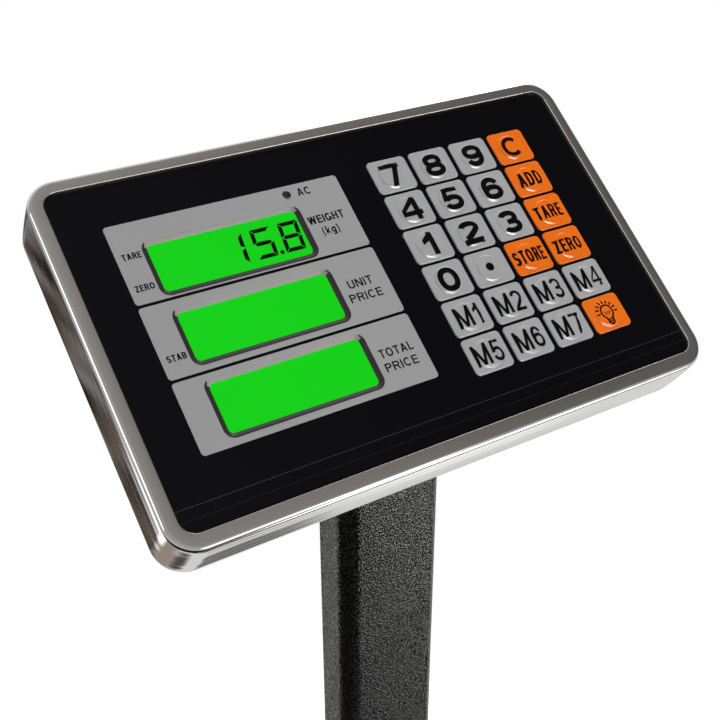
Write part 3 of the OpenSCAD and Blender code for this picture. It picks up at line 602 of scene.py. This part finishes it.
def segment_shapes(w, h, t, gap):
    """The seven segments of a digit whose lower left corner is the origin, as mitred bars."""
    m = h / 2
    g = gap
    return {
        "a": [(g, h), (w - g, h), (w - g - t, h - t), (g + t, h - t)],
        "d": [(g, 0), (g + t, t), (w - g - t, t), (w - g, 0)],
        "f": [(0, h - g), (t, h - g - t), (t, m + g + t / 2), (0, m + g)],
        "e": [(0, m - g), (t, m - g - t / 2), (t, g + t), (0, g)],
        "b": [(w, h - g), (w, m + g), (w - t, m + g + t / 2), (w - t, h - g - t)],
        "c": [(w, m - g), (w, g), (w - t, g + t), (w - t, m - g - t / 2)],
        "g": [(g + t * 0.2, m), (t + g, m + t / 2), (w - t - g, m + t / 2), (w - g - t * 0.2, m),
              (w - t - g, m - t / 2), (t + g, m - t / 2)],
    }


DIGIT_W, DIGIT_H, DIGIT_PITCH, DIGIT_BAR = 10.0 * MM, 15.2 * MM, 14.1 * MM, 1.95 * MM
DIGIT_LEAN = 0.10
POINT = 1.9 * MM


def reading(node, text, right, low):
    """A number on a display. right is its right edge and low its foot."""
    shapes = segment_shapes(DIGIT_W, DIGIT_H, DIGIT_BAR, 0.2 * MM)
    digits = text.replace(".", "")
    flats = []
    for i, c in enumerate(digits):
        x0 = right - DIGIT_W - (len(digits) - 1 - i) * DIGIT_PITCH
        flats += [[(x0 + x + DIGIT_LEAN * y, low + y) for x, y in shapes[s]] for s in SEGMENTS[c]]
    point = text.find(".")
    if point > 0:
        x0 = right - (len(digits) - point) * DIGIT_PITCH + (DIGIT_PITCH - DIGIT_W) / 2
        flats.append(outline(POINT, POINT, 0.5 * MM, 4, x0 + DIGIT_LEAN * MM, low + POINT / 2))
    parts = [prism(flat, GLASS_Z + 0.01 * MM, GLASS_Z + 0.04 * MM) for flat in flats]
    on_panel(node + "_digits", join(parts), MAT["segment"])


# ---- Lettering: plain sans-serif signs, drawn with strokes ----

def stroke(points, width, closed=False):
    """A line of constant width as a thin closed solid."""
    n = len(points)
    left, right = [], []
    for i, (x, y) in enumerate(points):
        a = points[(i - 1) % n] if closed or i else points[0]
        b = points[(i + 1) % n] if closed or i < n - 1 else points[-1]
        d = Vector((b[0] - a[0], b[1] - a[1])).normalized()
        left.append((x - d.y * width / 2, y + d.x * width / 2))
        right.append((x + d.y * width / 2, y - d.x * width / 2))
    return loft([[(*a, 0), (*a, 1), (*b, 1), (*b, 0)] for a, b in zip(left, right)], closed=closed)


def slab(points):
    return prism(points, 0, 1)


def slant(x0, y0, x1, y1, width):
    """A sloping bar with level ends."""
    half = width / 2 * math.hypot(x1 - x0, y1 - y0) / abs(y1 - y0)
    return slab([(x0 - half, y0), (x0 + half, y0), (x1 + half, y1), (x1 - half, y1)])


def bow(cx, cy, rx, ry, a0, a1, steps=26):
    """Points of a slightly squared oval arc."""
    points = []
    for i in range(steps + 1):
        a = math.radians(a0 + (a1 - a0) * i / steps)
        c, k = math.cos(a), math.sin(a)
        points.append((cx + rx * math.copysign(abs(c) ** 0.88, c), cy + ry * math.copysign(abs(k) ** 0.88, k)))
    return points


def glyph(sign, w, h, t):
    """The strokes of one sign in a box from the origin to (w, h)."""
    m, e = h / 2, t / 2
    rx, ry = (w - t) / 2, (h - t) / 4
    up, down = h - e - ry, e + ry

    def box(x0, y0, x1, y1):
        return slab(rectangle(x0, y0, x1, y1))

    def ring(cx, cy, a, b):
        return stroke(bow(cx, cy, a, b, 0, 360, 40)[:-1], t, closed=True)

    stem = box(0, 0, t, h)
    thin = t * 0.88
    if sign in "O0":
        return [ring(w / 2, m, rx, m - e)]
    if sign == "1":
        x = w - t
        return [box(x, 0, w, h), slab([(0, h * 0.70), (0, h * 0.70 - thin), (x + e, h * 0.86 - thin), (x + e, h)])]
    if sign == "2":
        r = h * 0.29 - e
        curve = bow(w / 2, h - e - r, rx, r, 172, -38)
        x, y = curve[-1]
        curve += [(x + (e * 1.3 - x) * k, y + (t - y) * (k ** 0.85)) for k in (0.25, 0.5, 0.75, 1.0)]
        return [stroke(curve, t), box(0, 0, w, t)]
    if sign == "3":
        return [stroke(bow(w / 2 - 0.03 * w, up, rx * 0.93, ry, 165, -90), t),
                stroke(bow(w / 2, down, rx, ry, 90, -165), t), box(w * 0.34, m - e * 0.95, w / 2, m + e * 0.95)]
    if sign == "4":
        x = w * 0.62
        bar = h * 0.2
        lean = [(0, bar + thin * 0.4), (0, bar + thin * 1.35), (x + t * 0.2, h), (x + t, h), (x + t * 0.4, h - t)]
        return [box(x, 0, x + t, h), box(0, bar, w, bar + thin), slab(lean)]
    if sign == "5":
        r = h * 0.335 - e
        left, foot = w * 0.02, h * 0.42
        lean = [(left, foot), (left + t * 0.95, foot), (w * 0.16 + t * 0.85, h), (w * 0.16, h)]
        return [box(w * 0.16, h - thin, w * 0.94, h), slab(lean), stroke(bow(w / 2, e + r, rx, r, 148, -168), t)]
    if sign in "69":
        r = h * 0.33 - e
        points = [bow(w / 2, e + r, rx, r, 0, 360, 40)[:-1], bow(w / 2, m, rx, m - e, 192, 28)]
        if sign == "9":
            points = [[(w - x, h - y) for x, y in line] for line in points]
        return [stroke(points[0], t, closed=True), stroke(points[1], t)]
    if sign == "7":
        return [box(0, h - thin, w, h), slant(w * 0.42, 0, w - t * 0.58, h, t * 0.95)]
    if sign == "8":
        return [ring(w / 2, up, rx * 0.9, ry), ring(w / 2, down, rx, ry)]
    if sign == "A":
        return [slant(e * 1.15, 0, w / 2 - t * 0.06, h, t), slant(w - e * 1.15, 0, w / 2 + t * 0.06, h, t),
                box(w * 0.22, h * 0.23, w * 0.78, h * 0.23 + thin)]
    if sign in "BPR":
        parts = [stem, box(0, h - thin, w * 0.55, h), box(0, m - e * 0.9, w * 0.55, m + e * 0.9)]
        parts.append(stroke(bow(w * 0.52, up, w * 0.48 - e, ry, 90, -90), t * 0.95))
        if sign == "B":
            parts += [stroke(bow(w * 0.52, down, w * 0.48 - e, ry, 90, -90), t * 0.95), box(0, 0, w * 0.55, thin)]
        if sign == "R":
            parts.append(slant(w - e, 0, w * 0.62, m, t))
        return parts
    if sign == "C":
        return [stroke(bow(w / 2, m, rx, m - e, 42, 318), t)]
    if sign == "G":
        return [stroke(bow(w / 2, m, rx, m - e, 42, 330), t), box(w - t, h * 0.1, w, h * 0.5),
                box(w * 0.55, h * 0.5 - thin, w, h * 0.5)]
    if sign == "D":
        return [stem, box(0, 0, w * 0.5, thin), box(0, h - thin, w * 0.5, h),
                stroke(bow(w * 0.45, m, w * 0.55 - e, m - e, 90, -90), t)]
    if sign in "EL":
        parts = [stem, box(0, 0, w, thin)]
        if sign == "E":
            parts += [box(0, h - thin, w, h), box(0, m - thin / 2 + h * 0.02, w * 0.92, m + thin / 2 + h * 0.02)]
        return parts
    if sign == "H":
        return [stem, box(w - t, 0, w, h), box(0, m - thin / 2, w, m + thin / 2)]
    if sign == "I":
        return [box(w / 2 - e, 0, w / 2 + e, h)]
    if sign == "M":
        return [stem, box(w - t, 0, w, h), slant(w / 2, h * 0.02, e, h, t * 0.95),
                slant(w / 2, h * 0.02, w - e, h, t * 0.95)]
    if sign == "N":
        return [stem, box(w - t, 0, w, h), slant(w - e, 0, e, h, t)]
    if sign == "S":
        curve = bow(w / 2, up, rx, ry, 22, 270)[:-1] + bow(w / 2, down, rx, ry, 90, -158)
        return [stroke(curve, t)]
    if sign == "T":
        return [box(0, h - thin, w, h), box(w / 2 - e, 0, w / 2 + e, h)]
    if sign == "U":
        return [stroke([(e, h)] + bow(w / 2, h * 0.36, rx, h * 0.36 - e, 180, 360) + [(w - e, h)], t)]
    if sign == "W":
        a, b = w * 0.27, w * 0.73
        return [slant(a, 0, e, h, t), slant(a, 0, w / 2, h, t), slant(b, 0, w / 2, h, t), slant(b, 0, w - e, h, t)]
    if sign == "Z":
        return [box(0, h - thin, w, h), box(0, 0, w, thin),
                slant(t * 0.7, thin * 0.3, w - t * 0.7, h - thin * 0.3, t)]
    if sign == "k":
        return [stem, slant(t * 0.9, h * 0.22, w - t * 0.7, h * 0.7, t * 0.9),
                slant(w - e, 0, w * 0.4, h * 0.42, t * 0.9)]
    if sign == "g":
        low, top = -h * 0.3, h * 0.7
        r = top / 2 - e
        return [ring(w / 2, top / 2, rx, r), box(w - t, low * 0.45, w, top),
                stroke(bow(w / 2, low * 0.45, rx, -low * 0.55 - e, 0, -160), t)]
    side, start = (1, -58) if sign == ")" else (-1, 122)
    return [stroke(bow(w / 2 - side * w / 2, h * 0.38, w, h * 0.68, start, start + 116), t * 0.8)]


SIGN_WIDTHS = {"A": 0.72, "B": 0.64, "C": 0.72, "D": 0.69, "E": 0.60, "G": 0.75, "H": 0.68, "I": 0.16, "L": 0.54,
               "M": 0.80, "N": 0.70, "O": 0.76, "P": 0.63, "R": 0.67, "S": 0.64, "T": 0.62, "U": 0.68, "W": 0.98,
               "Z": 0.60, "k": 0.50, "g": 0.52, "(": 0.2, ")": 0.2, "1": 0.36}


def word(text, x, y, w, h, t, gap=0.14):
    """A word of signs centred at (x, y), w wide and h high, with strokes t thick. Heights run from 0 to 1."""
    widths = [SIGN_WIDTHS.get(c, 0.60) for c in text]
    scale = w / (sum(widths) + gap * (len(text) - 1))
    parts, at = [], x - w / 2
    for c, share in zip(text, widths):
        place = Matrix.Translation((at, y - h / 2, 0))
        parts += [moved(part, place) for part in glyph(c, share * scale, h, t)]
        at += (share + gap) * scale
    return join(parts)


def legend(name, text, x, y, w, h, t):
    """Black lettering printed on a plate, measured in millimetres."""
    verts, faces = word(text, x * MM, y * MM, w * MM, h * MM, t * MM)
    verts = [(v[0], v[1], INK + (0.004 + 0.02 * v[2]) * MM) for v in verts]
    on_panel("label_" + name, (verts, faces), MAT["ink"])


LEGENDS = [
    ("ac", "AC", -19.2, 54.1, 7.0, 4.0, 0.72), ("tare", "TARE", -108.3, 42.6, 8.7, 3.1, 0.62),
    ("zero", "ZERO", -108.5, 27.0, 8.7, 3.1, 0.62), ("stab", "STAB", -108.4, -7.3, 8.7, 3.1, 0.62),
    ("weight", "WEIGHT", -15.0, 38.3, 18.6, 4.1, 0.82), ("kg", "(kg)", -15.5, 32.0, 8.0, 4.0, 0.72),
    ("unit", "UNIT", -14.5, 2.7, 12.7, 4.2, 0.74), ("unit_price", "PRICE", -14.6, -4.2, 16.9, 4.2, 0.74),
    ("total", "TOTAL", -13.9, -33.1, 17.4, 4.2, 0.74), ("total_price", "PRICE", -14.3, -40.0, 16.9, 4.2, 0.74),
]

# ---- Keys ----

ORANGE = {"c", "add", "tare", "zero", "store", "light"}
KEY_R, KEY_FLANGE, KEY_SOFT = 2.3 * MM, 0.6 * MM, 0.35 * MM
DOME_R = 7.2 * MM
DOME_H = 0.48 * MM
DOME_SHIFT = -0.4 * MM
# The rings of a dome, as shares of its radius
DOME_RINGS = (0.2, 0.45, 0.7, 0.86, 0.895, 0.915, 0.935, 0.955, 0.975, 0.995, 1.015, 1.035, 1.06)
LABEL_SHIFT = -0.2 * MM
# Each label's text, width, height and stroke in millimetres
KEY_LABELS = {
    "c": ("C", 10.6, 11.2, 2.1), "add": ("ADD", 14.3, 8.0, 1.4), "tare": ("TARE", 16.3, 7.3, 1.3),
    "zero": ("ZERO", 16.3, 7.3, 1.3), "store": ("STORE", 18.4, 7.5, 1.3), "1": ("1", 6.4, 12.6, 2.9),
    "m1": ("M1", 13.6, 10.8, 1.62),
}
KEY_LABELS.update({name: (name, 11.0, 12.6, 2.9) for name in "023456789"})
KEY_LABELS.update({f"m{i}": (f"M{i}", 15.8, 10.8, 1.62) for i in range(2, 8)})


def smoothstep(a, b, x):
    t = min(max((x - a) / (b - a), 0), 1)
    return t * t * (3 - 2 * t)


def key_surface(x, y):
    """Height of the key's film over its edge: a shallow round dome with a soft rim."""
    r = math.hypot(x, y - DOME_SHIFT)
    plateau = 1 - smoothstep(DOME_R - 0.85 * MM, DOME_R + 0.25 * MM, r)
    crown = 0.12 * MM * max(0, 1 - (r / DOME_R) ** 2)
    return DOME_H * plateau + crown


def key_pad(name):
    """One key: rounded edges and an embossed dome, lofted from its middle to its flange."""
    node = "key_" + name
    low, high = panel_box(node)
    mid, top = (low + high) / 2, high.z
    w, h = high.x - low.x - 2 * KEY_FLANGE, high.y - low.y - 2 * KEY_FLANGE

    def edge(grow):
        """The key's outline, grown from where its top starts to turn down."""
        out = grow - KEY_SOFT
        return outline(w + 2 * out, h + 2 * out, KEY_R + out, 6, flats=18)

    def on_film(x, y):
        return x, y, top + key_surface(x, y)

    edge_line = edge(0)
    angles = [math.atan2(y - DOME_SHIFT, x) for x, y in edge_line]
    rings = [[on_film(DOME_R * spot * math.cos(a), DOME_SHIFT + DOME_R * spot * math.sin(a)) for a in angles]
             for spot in DOME_RINGS]
    around_dome = rings[-1]
    for share in (0.35, 0.7, 1.0):
        rings.append([on_film(cx + (ex - cx) * share, cy + (ey - cy) * share)
                      for (cx, cy, _), (ex, ey) in zip(around_dome, edge_line)])
    rings += [level(edge(out), z) for out, z in arc(0, top - KEY_SOFT, KEY_SOFT, 60, 0, 3)]
    rings.append(level(edge(KEY_SOFT), low.z))
    verts, faces = loft(rings, caps=False)
    centre, count = len(verts), len(edge_line)
    verts.append(on_film(0, DOME_SHIFT))
    faces += [((centre, i, (i + 1) % count), 0) for i in range(count)]
    faces.append((tuple(range(centre - count, centre)), 0))
    slot = "key_orange" if name in ORANGE else "key_grey"
    place = PANEL @ Matrix.Translation((mid.x, mid.y, 0))
    piece(node + "_cap", (verts, faces), node, MAT[slot], place, (node,), 40)
    return top, place


def laid_on_key(shape, top):
    """Follows the key's dome with thin lettering, after cutting its long faces up."""
    bm = bmesh.new()
    vs = [bm.verts.new(v) for v in shape[0]]
    for f, _ in shape[1]:
        bm.faces.new([vs[i] for i in f])
    bmesh.ops.triangulate(bm, faces=bm.faces)
    for _ in range(6):
        long = []
        for e in bm.edges:
            a, b = (v.co.xy - Vector((0, DOME_SHIFT)) for v in e.verts)
            near_rim = any(DOME_R - 1.4 * MM < p.length < DOME_R + 0.8 * MM for p in (a, b, (a + b) / 2))
            if (a - b).length > (0.45 if near_rim else 1.3) * MM:
                long.append(e)
        if not long:
            break
        bmesh.ops.subdivide_edges(bm, edges=long, cuts=1)
        bmesh.ops.triangulate(bm, faces=bm.faces)
    bm.verts.index_update()
    places = [v.co.copy() for v in bm.verts]
    faces = [(tuple(v.index for v in f.verts), 0) for f in bm.faces]
    bm.free()
    return [(x, y, top + key_surface(x, y) + (0.03 + 0.02 * z) * MM) for x, y, z in places], faces


def lamp_sign():
    """A light bulb with rays, for the backlight's key."""
    bulb = bow(0, 0.4, 3.3, 3.4, -55, 235, 28)
    neck = [(-1.7, -3.6), (-1.5, -5.4), (-0.8, -6.2), (0.8, -6.2), (1.5, -5.4), (1.7, -3.6)]
    filament = [(-1.6, 0.5), (-0.7, -1.2), (0, 0.5), (0.7, -1.2), (1.6, 0.5)]
    lines = [(bulb + neck, 0.9, True), ([(-1.7, -3.8), (1.7, -3.4)], 0.7, False),
             ([(-1.6, -5.0), (1.6, -4.6)], 0.7, False), (filament, 0.62, False)]
    for a in range(-6, 187, 24):
        c, k = math.cos(math.radians(a)), math.sin(math.radians(a))
        lines.append(([(4.4 * c, 0.4 + 4.4 * k), (6.3 * c, 0.4 + 6.3 * k)], 0.85, False))
    return join([stroke([(x * MM, y * MM) for x, y in line], w * MM, closed) for line, w, closed in lines])


def key_label(name, top, place):
    if name == "point":
        shape = slab(circle(2.2 * MM, 28))
    elif name == "light":
        shape = lamp_sign()
    else:
        text, w, h, t = KEY_LABELS[name]
        shape = word(text, 0, LABEL_SHIFT, w * MM, h * MM, t * MM)
    shape = laid_on_key(shape, top)
    piece("label_key_" + name, shape, "key_" + name, MAT["ink"], place, smooth=30)


def keys():
    for row in KEY_ROWS:
        for name in row:
            key_label(name, *key_pad(name))

# ---- Column, knobs, platform ----

def column_tube():
    """The hollow column, with rounded corners and enough rings for its paint."""
    low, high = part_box("column_tube")
    w, d = high.x - low.x, high.y - low.y
    cx, cy = (low.x + high.x) / 2, (low.y + high.y) / 2
    r, wall, soft = 9.6 * MM, 1.5 * MM, 0.4 * MM
    profile = ([(0, low.z + soft), (0, high.z - soft)] + arc(soft, high.z - soft, soft, 180, 90, 3)[1:]
               + [(wall, high.z), (wall, low.z), (soft, low.z)])
    stations = []
    for (d0, z0), (d1, z1) in zip(profile, profile[1:] + profile[:1]):
        cuts = 12 if abs(z1 - z0) > 100 * MM else 1
        stations += [(d0 + (d1 - d0) * k / cuts, z0 + (z1 - z0) * k / cuts) for k in range(cuts)]
    rings = [level(outline(w - 2 * o, d - 2 * o, r - o, 14, cx, cy), z) for o, z in stations]
    shell = piece("column_shell", loft(rings, closed=True), "column", MAT["hammer"], None,
                  ("column_tube",), 40)
    shell.visible_glossy = False


def star_knob(node):
    """A six-lobed hand knob along X with rounded lobes and a steel boss."""
    low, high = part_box(node)
    mid = (low + high) / 2
    radius = (high.z - low.z) / 2
    length, soft, boss_r = 14 * MM, 2.6 * MM, 0.45
    x0 = high.x - length

    def ring(x, share):
        points = []
        for i in range(120):
            a = 2 * math.pi * i / 120
            r = radius * (0.9 + 0.1 * math.cos(6 * a) - 0.015 * math.cos(12 * a)) / 0.985 * share
            points.append((x, mid.y + r * math.cos(a), mid.z + r * math.sin(a)))
        return points

    edges = arc(soft, 0, soft, 180, 90, 5) + arc(length - soft, 0, soft, 90, 0, 5)
    rings = [ring(x0 + d, (radius - soft + z) / radius) for d, z in edges]
    for share, dip in ((0.72, 0.0), (0.6, 0.5), (0.5, 1.1), (0.42, 1.2)):
        rings.append(ring(x0 + length - dip * MM, share))
    boss = [[(x, y, z) for y, z in circle(boss_r * radius, 40, mid.y, mid.z)] for x in (low.x, x0 + 0.5 * MM)]
    shape = join([loft(rings), loft(boss, marks=[1])])
    piece(node + "_grip", shape, BODY_OF[node], [MAT["knob"], MAT["zinc"]], None, (node,), 35)


def platter():
    """The folded steel tray, with its bend radius and open underside."""
    low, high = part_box("platter")
    w, d = high.x - low.x, high.y - low.y
    cx, cy = (low.x + high.x) / 2, (low.y + high.y) / 2
    r, t, bend, foot = 8 * MM, 1.5 * MM, 3.0 * MM, low.z + 0.4 * MM
    profile = ([(t, foot), (t / 2, low.z), (0, foot)] + arc(bend, high.z - bend, bend, 180, 90, 6)
               + [(inset * MM, high.z) for inset in (20, 60, 120)])
    under = ([(120 * MM, high.z - t), (20 * MM, high.z - t)]
             + arc(bend, high.z - bend, bend - t, 90, 180, 3) + [(t, foot)])

    def skin(stations):
        return loft([level(outline(w - 2 * inset, d - 2 * inset, max(r - inset, 0.5 * MM), 8, cx, cy), z)
                     for inset, z in stations], caps=False)

    outside, inside = skin(profile), skin(under)
    points = len(outside[0])
    n = points // len(profile)
    outside[1].append((tuple(range(points - n, points)), 0))
    inside[1].append((tuple(range(n - 1, -1, -1)), 0))
    shape = join([outside, inside])
    piece("platter_tray", shape, "platter", MAT["platter"], None, ("platter",), 40)


def feet():
    """Rubber feet with a ribbed skirt, under the levelling screws."""
    low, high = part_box("foot_pads")
    r, h, axis = 18 * MM, high.z - low.z, 0.0005 * MM
    profile = [(axis, 0.8 * MM), (r * 0.55, 0.8 * MM), (r * 0.6, 0), (r - 1 * MM, 0), (r, 0.8 * MM)]
    profile += [(r * wide, h * tall) for wide, tall in (
        (1, 0.4), (0.93, 0.52), (0.9, 0.52), (0.84, 0.66), (0.81, 0.66), (0.75, 0.82), (0.7, 0.95),
        (0.66, 1), (0.3, 1))]
    profile += [(r * 0.29, h - 2 * MM), (axis, h - 2 * MM)]
    foot = lathe(profile)
    parts = [moved(foot, Matrix.Translation((x, y, low.z)))
             for x in (low.x + r, high.x - r) for y in (low.y + r, high.y - r)]
    piece("foot_rubbers", join(parts), "base", MAT["rubber"], None, ("foot_pads",), 40)


def dress(node, material):
    """Gives a CAD node its finish as it stands."""
    slots = NODES[node].data.materials
    slots.clear()
    slots.append(material)


def hardware():
    """Finishes of the CAD nodes that stay."""
    for node in ("column_cap", "column_sleeves", "column_cable"):
        NODES[node].visible_glossy = False
    for node in WINDOW_NODES:
        NODES[node].visible_diffuse = NODES[node].visible_glossy = False
    for node, width, material in (
            ("back_cover", 0.7, "cover"), ("battery_door", 0.5, "cover"), ("power_switch", 0.4, "switch"),
            ("power_rocker", 0.5, "rocker"), ("charge_socket", 0.3, "switch"), ("tilt_bracket", 0.5, "frame"),
            ("tilt_bolt", 0.7, "zinc"), ("column_cap", 0.6, "knob"), ("fold_bracket", 0.6, "hammer"),
            ("fold_bolt", 0.6, "zinc"), ("base_frame", 1.2, "hammer"), ("base_bolts", 0.4, "zinc"),
            ("top_frame", 1.0, "hammer"), ("head_screws", 0.2, "zinc"), ("load_cell", 0.5, "aluminium")):
        soften(node, width, MAT[material])
    for node, material in (
            ("overlay_panel", "overlay"), ("display_frame", "well"),
            ("weight_display", "lcd"), ("unit_price_display", "lcd"), ("total_price_display", "lcd"),
            ("backlights", "guide"), ("display_board", "board"), ("key_board", "board"), ("key_domes", "zinc"),
            ("battery", "battery"), ("column_sleeves", "zinc"), ("column_cable", "cable"),
            ("base_cable", "cable"), ("platter_buffers", "rubber")):
        dress(node, MAT[material])


# ---- Studio ----

# The dark, warm and cool bands of the room that the pan's left side mirrors, and where each sets in
STREAKS = ((0.014, 0.011, 0.010), (0.12, 0.092, 0.074), (0.22, 0.235, 0.26))
STREAK_STOPS = (0.38, 0.52, 0.66)
CAMERA_LEVEL, PLAIN_LEVEL, SHINY_LEVEL = 1.0, 0.34, 0.45
FLOOR_HALF = 6.0
FLOOR_FADE = (0.5, 0.95)
# Direction, half width and softness in degrees, and colour, of what polished metal sees around it.
# A fifth value limits the patch to where it overlaps a second one.
STUDIO = [
    ((0, 0, 1), 65, 25, (0.345, 0.337, 0.33)),
    ((0.0, 0.93, 0.36), 38, 14, (0.75, 0.75, 0.76)),
    ((0.8, -0.1, 0.5), 30, 18, 0.09),
    ((0, 0, -1), 70, 20, (0.72, 0.72, 0.73)),
    ((-0.81, -0.59, 0), 82, 3, 0.012, ((0, 0, -1), 71, 6)),
    ((-0.27, 0.85, -0.45), 24, 10, STREAKS),
    ((-0.31, 0.5, -0.81), 11, 7, (0.32, 0.26, 0.22)),
    ((-0.12, 0.32, -0.94), 5, 5, (0.09, 0.07, 0.06)),
    ((-0.50, 0.62, -0.60), 9, 4, (1.7, 1.75, 1.75)),
    ((0.52, -0.62, -0.59), 12, 3, (5.2, 5.2, 5.05)),
    ((0.52, -0.80, -0.30), 8, 3, (3.9, 3.9, 3.8)),
    ((0.5, -0.35, -0.79), 17.5, 3, 0.03),
    ((0.5, 0.40, -0.77), 26, 7, 0.70),
    ((0.48, 0.58, -0.66), 9, 6, 0.56),
    ((0.51, 0.21, -0.83), 6, 5, 1.0),
    ((0.31, 0.42, -0.85), 4, 2, (0.12, 0.11, 0.10)),
    ((0.70, 0.55, -0.45), 8, 6, 0.30),
    ((0.60, 0.60, 0.53), 9, 5, 3.0),
    ((0.30, -0.90, 0.26), 12, 3, (2.4, 2.4, 2.42)),
    ((-0.8, 0.0, 0.6), 13, 4, (2.0, 2.0, 2.05)),
]


def studio_world():
    """White to the camera, a plain level to plain surfaces, and a studio with softboxes to shiny ones."""
    world = bpy.data.worlds.new("studio")
    bpy.context.scene.world = world
    g = Graph(world)
    around = g.node("TexCoord").outputs["Generated"]

    def patch(direction, width, soft):
        """1 inside a cone around a direction, with a soft edge."""
        dot = g.node("VectorMath", around, Vector(direction).normalized(), operation="DOT_PRODUCT")
        edge = [math.cos(math.radians(a)) for a in (min(width + soft, 178), max(width - soft, 1))]
        return g.span(dot.outputs["Value"], 0.0, 1.0, edge, interpolation_type="SMOOTHSTEP")

    stretched = g.node("Mapping", around, Scale=(1.2, 1.2, 11)).outputs["Vector"]
    bands = g.node("TexNoise", stretched, Scale=2.2).outputs["Fac"]
    streaks = g.ramp(bands, list(zip(STREAK_STOPS, STREAKS)))
    seen = SHINY_LEVEL
    for direction, width, soft, color, *limit in STUDIO:
        share = patch(direction, width, soft)
        if limit:
            share = g.math("MULTIPLY", share, patch(*limit[0]))
        seen = g.mix(share, seen, streaks if color is STREAKS else color)
    ray = g.node("LightPath").outputs
    shiny = g.math("MAXIMUM", ray["Is Glossy Ray"], ray["Is Transmission Ray"])
    color = g.mix(ray["Is Camera Ray"], g.mix(shiny, PLAIN_LEVEL, seen), CAMERA_LEVEL)
    g.node("OutputWorld", g.node("Background", color).outputs["Background"])


def floor():
    """A pale floor that keeps the shadow and fades into the white around it."""
    mesh = bpy.data.meshes.new("floor")
    square = rectangle(-FLOOR_HALF, -FLOOR_HALF, FLOOR_HALF, FLOOR_HALF)
    mesh.from_pydata(level(square, 0), [], [(0, 1, 2, 3)])
    obj = added("floor", mesh)
    obj.visible_glossy = False
    material = bpy.data.materials.new("floor_white")
    g = Graph(material)
    glow_level = g.span(g.node("LightPath").outputs["Is Camera Ray"], 0.0, 0.5)
    glowing = g.node("Emission", Strength=glow_level).outputs["Emission"]
    pale = g.node("AddShader", g.node("BsdfDiffuse", 0.8).outputs["BSDF"], glowing)
    far = g.node("VectorMath", g.node("TexCoord").outputs["Object"], operation="LENGTH").outputs["Value"]
    fade = g.span(far, 0.0, 1.0, FLOOR_FADE, interpolation_type="SMOOTHSTEP")
    clear = g.node("BsdfTransparent").outputs["BSDF"]
    g.node("OutputMaterial", g.node("MixShader", fade, pale.outputs["Shader"], clear).outputs["Shader"])
    mesh.materials.append(material)


def area_light(name, place, target, size, power):
    data = bpy.data.lights.new(name, "AREA")
    data.shape = "RECTANGLE"
    data.size, data.size_y = size
    data.energy = power
    obj = added(name, data)
    obj.location = place
    obj.rotation_euler = (Vector(target) - Vector(place)).to_track_quat("-Z", "Y").to_euler()
    obj.visible_glossy = False
    return obj


def lights():
    head, base = PANEL.translation, (0, 0.1, 0.45)
    area_light("left_softbox", head + Vector((-1.5, 0.75, 0.1)), head, (0.5, 1.4), 20)
    area_light("right_softbox", head + Vector((0.9, -1.4, 0.3)), head, (0.6, 1.4), 22)
    area_light("back_left_softbox", (-1.1, 2.0, 0.35), base, (0.8, 1.2), 30)
    area_light("back_right_softbox", (1.3, 1.7, 0.3), base, (0.8, 1.2), 24)
    area_light("top_softbox", head + Vector((0.2, 1.0, 1.4)), head, (1.4, 0.8), 26)


def key_strip_light():
    """A strip of light that only the keys catch, along the rims of their domes."""
    head = PANEL.translation
    lamp = area_light("key_strip", head + Vector((0.25, -0.82, 0.42)), head, (0.7, 0.25), 10.5)
    lamp.visible_glossy = True
    lamp.visible_diffuse = False
    group = bpy.data.collections.new("lit_keys")
    for obj in bpy.data.objects:
        if obj.name.startswith("key_") and obj.name.endswith("_cap"):
            group.objects.link(obj)
    lamp.light_linking.receiver_collection = group


# The camera's place from key 7 in millimetres, its azimuth, elevation and roll in degrees, and its lens
CAMERA_PLACE = (-288.5, -433.0, 202.1)
CAMERA_TURN = (-31.94, 30.35, -0.29)
CAMERA_LENS = 57.49


def camera():
    """Stands in front and to the left of the head, as measured from the middle of key 7."""
    low, high = panel_box("key_7")
    mid = (low + high) / 2
    target = PANEL @ Vector((mid.x, mid.y, 0))
    azimuth, elevation, roll = (math.radians(a) for a in CAMERA_TURN)
    data = bpy.data.cameras.new("camera")
    data.lens = CAMERA_LENS
    data.sensor_width = 36
    data.clip_start = 0.01
    data.clip_end = 50
    obj = added("camera", data)
    steps = ((azimuth, "Z"), (math.pi / 2 - elevation, "X"), (roll, "Z"))
    turn, tip, lean = (Matrix.Rotation(angle, 4, axis) for angle, axis in steps)
    obj.matrix_world = Matrix.Translation(target + Vector(CAMERA_PLACE) * MM) @ turn @ tip @ lean
    bpy.context.scene.camera = obj


camera()
studio_world()
floor()
lights()
bpy.context.scene.view_settings.view_transform = "Standard"

head_pan()
plates()
window_lips()
ac_lamp()
film_lines()
display_faces()
reading("weight_display", "15.8", -30.5 * MM, 26.3 * MM)
for legend_row in LEGENDS:
    legend(*legend_row)
keys()
column_tube()
star_knob("tilt_knob")
star_knob("fold_knob")
platter()
feet()
hardware()
key_strip_light()
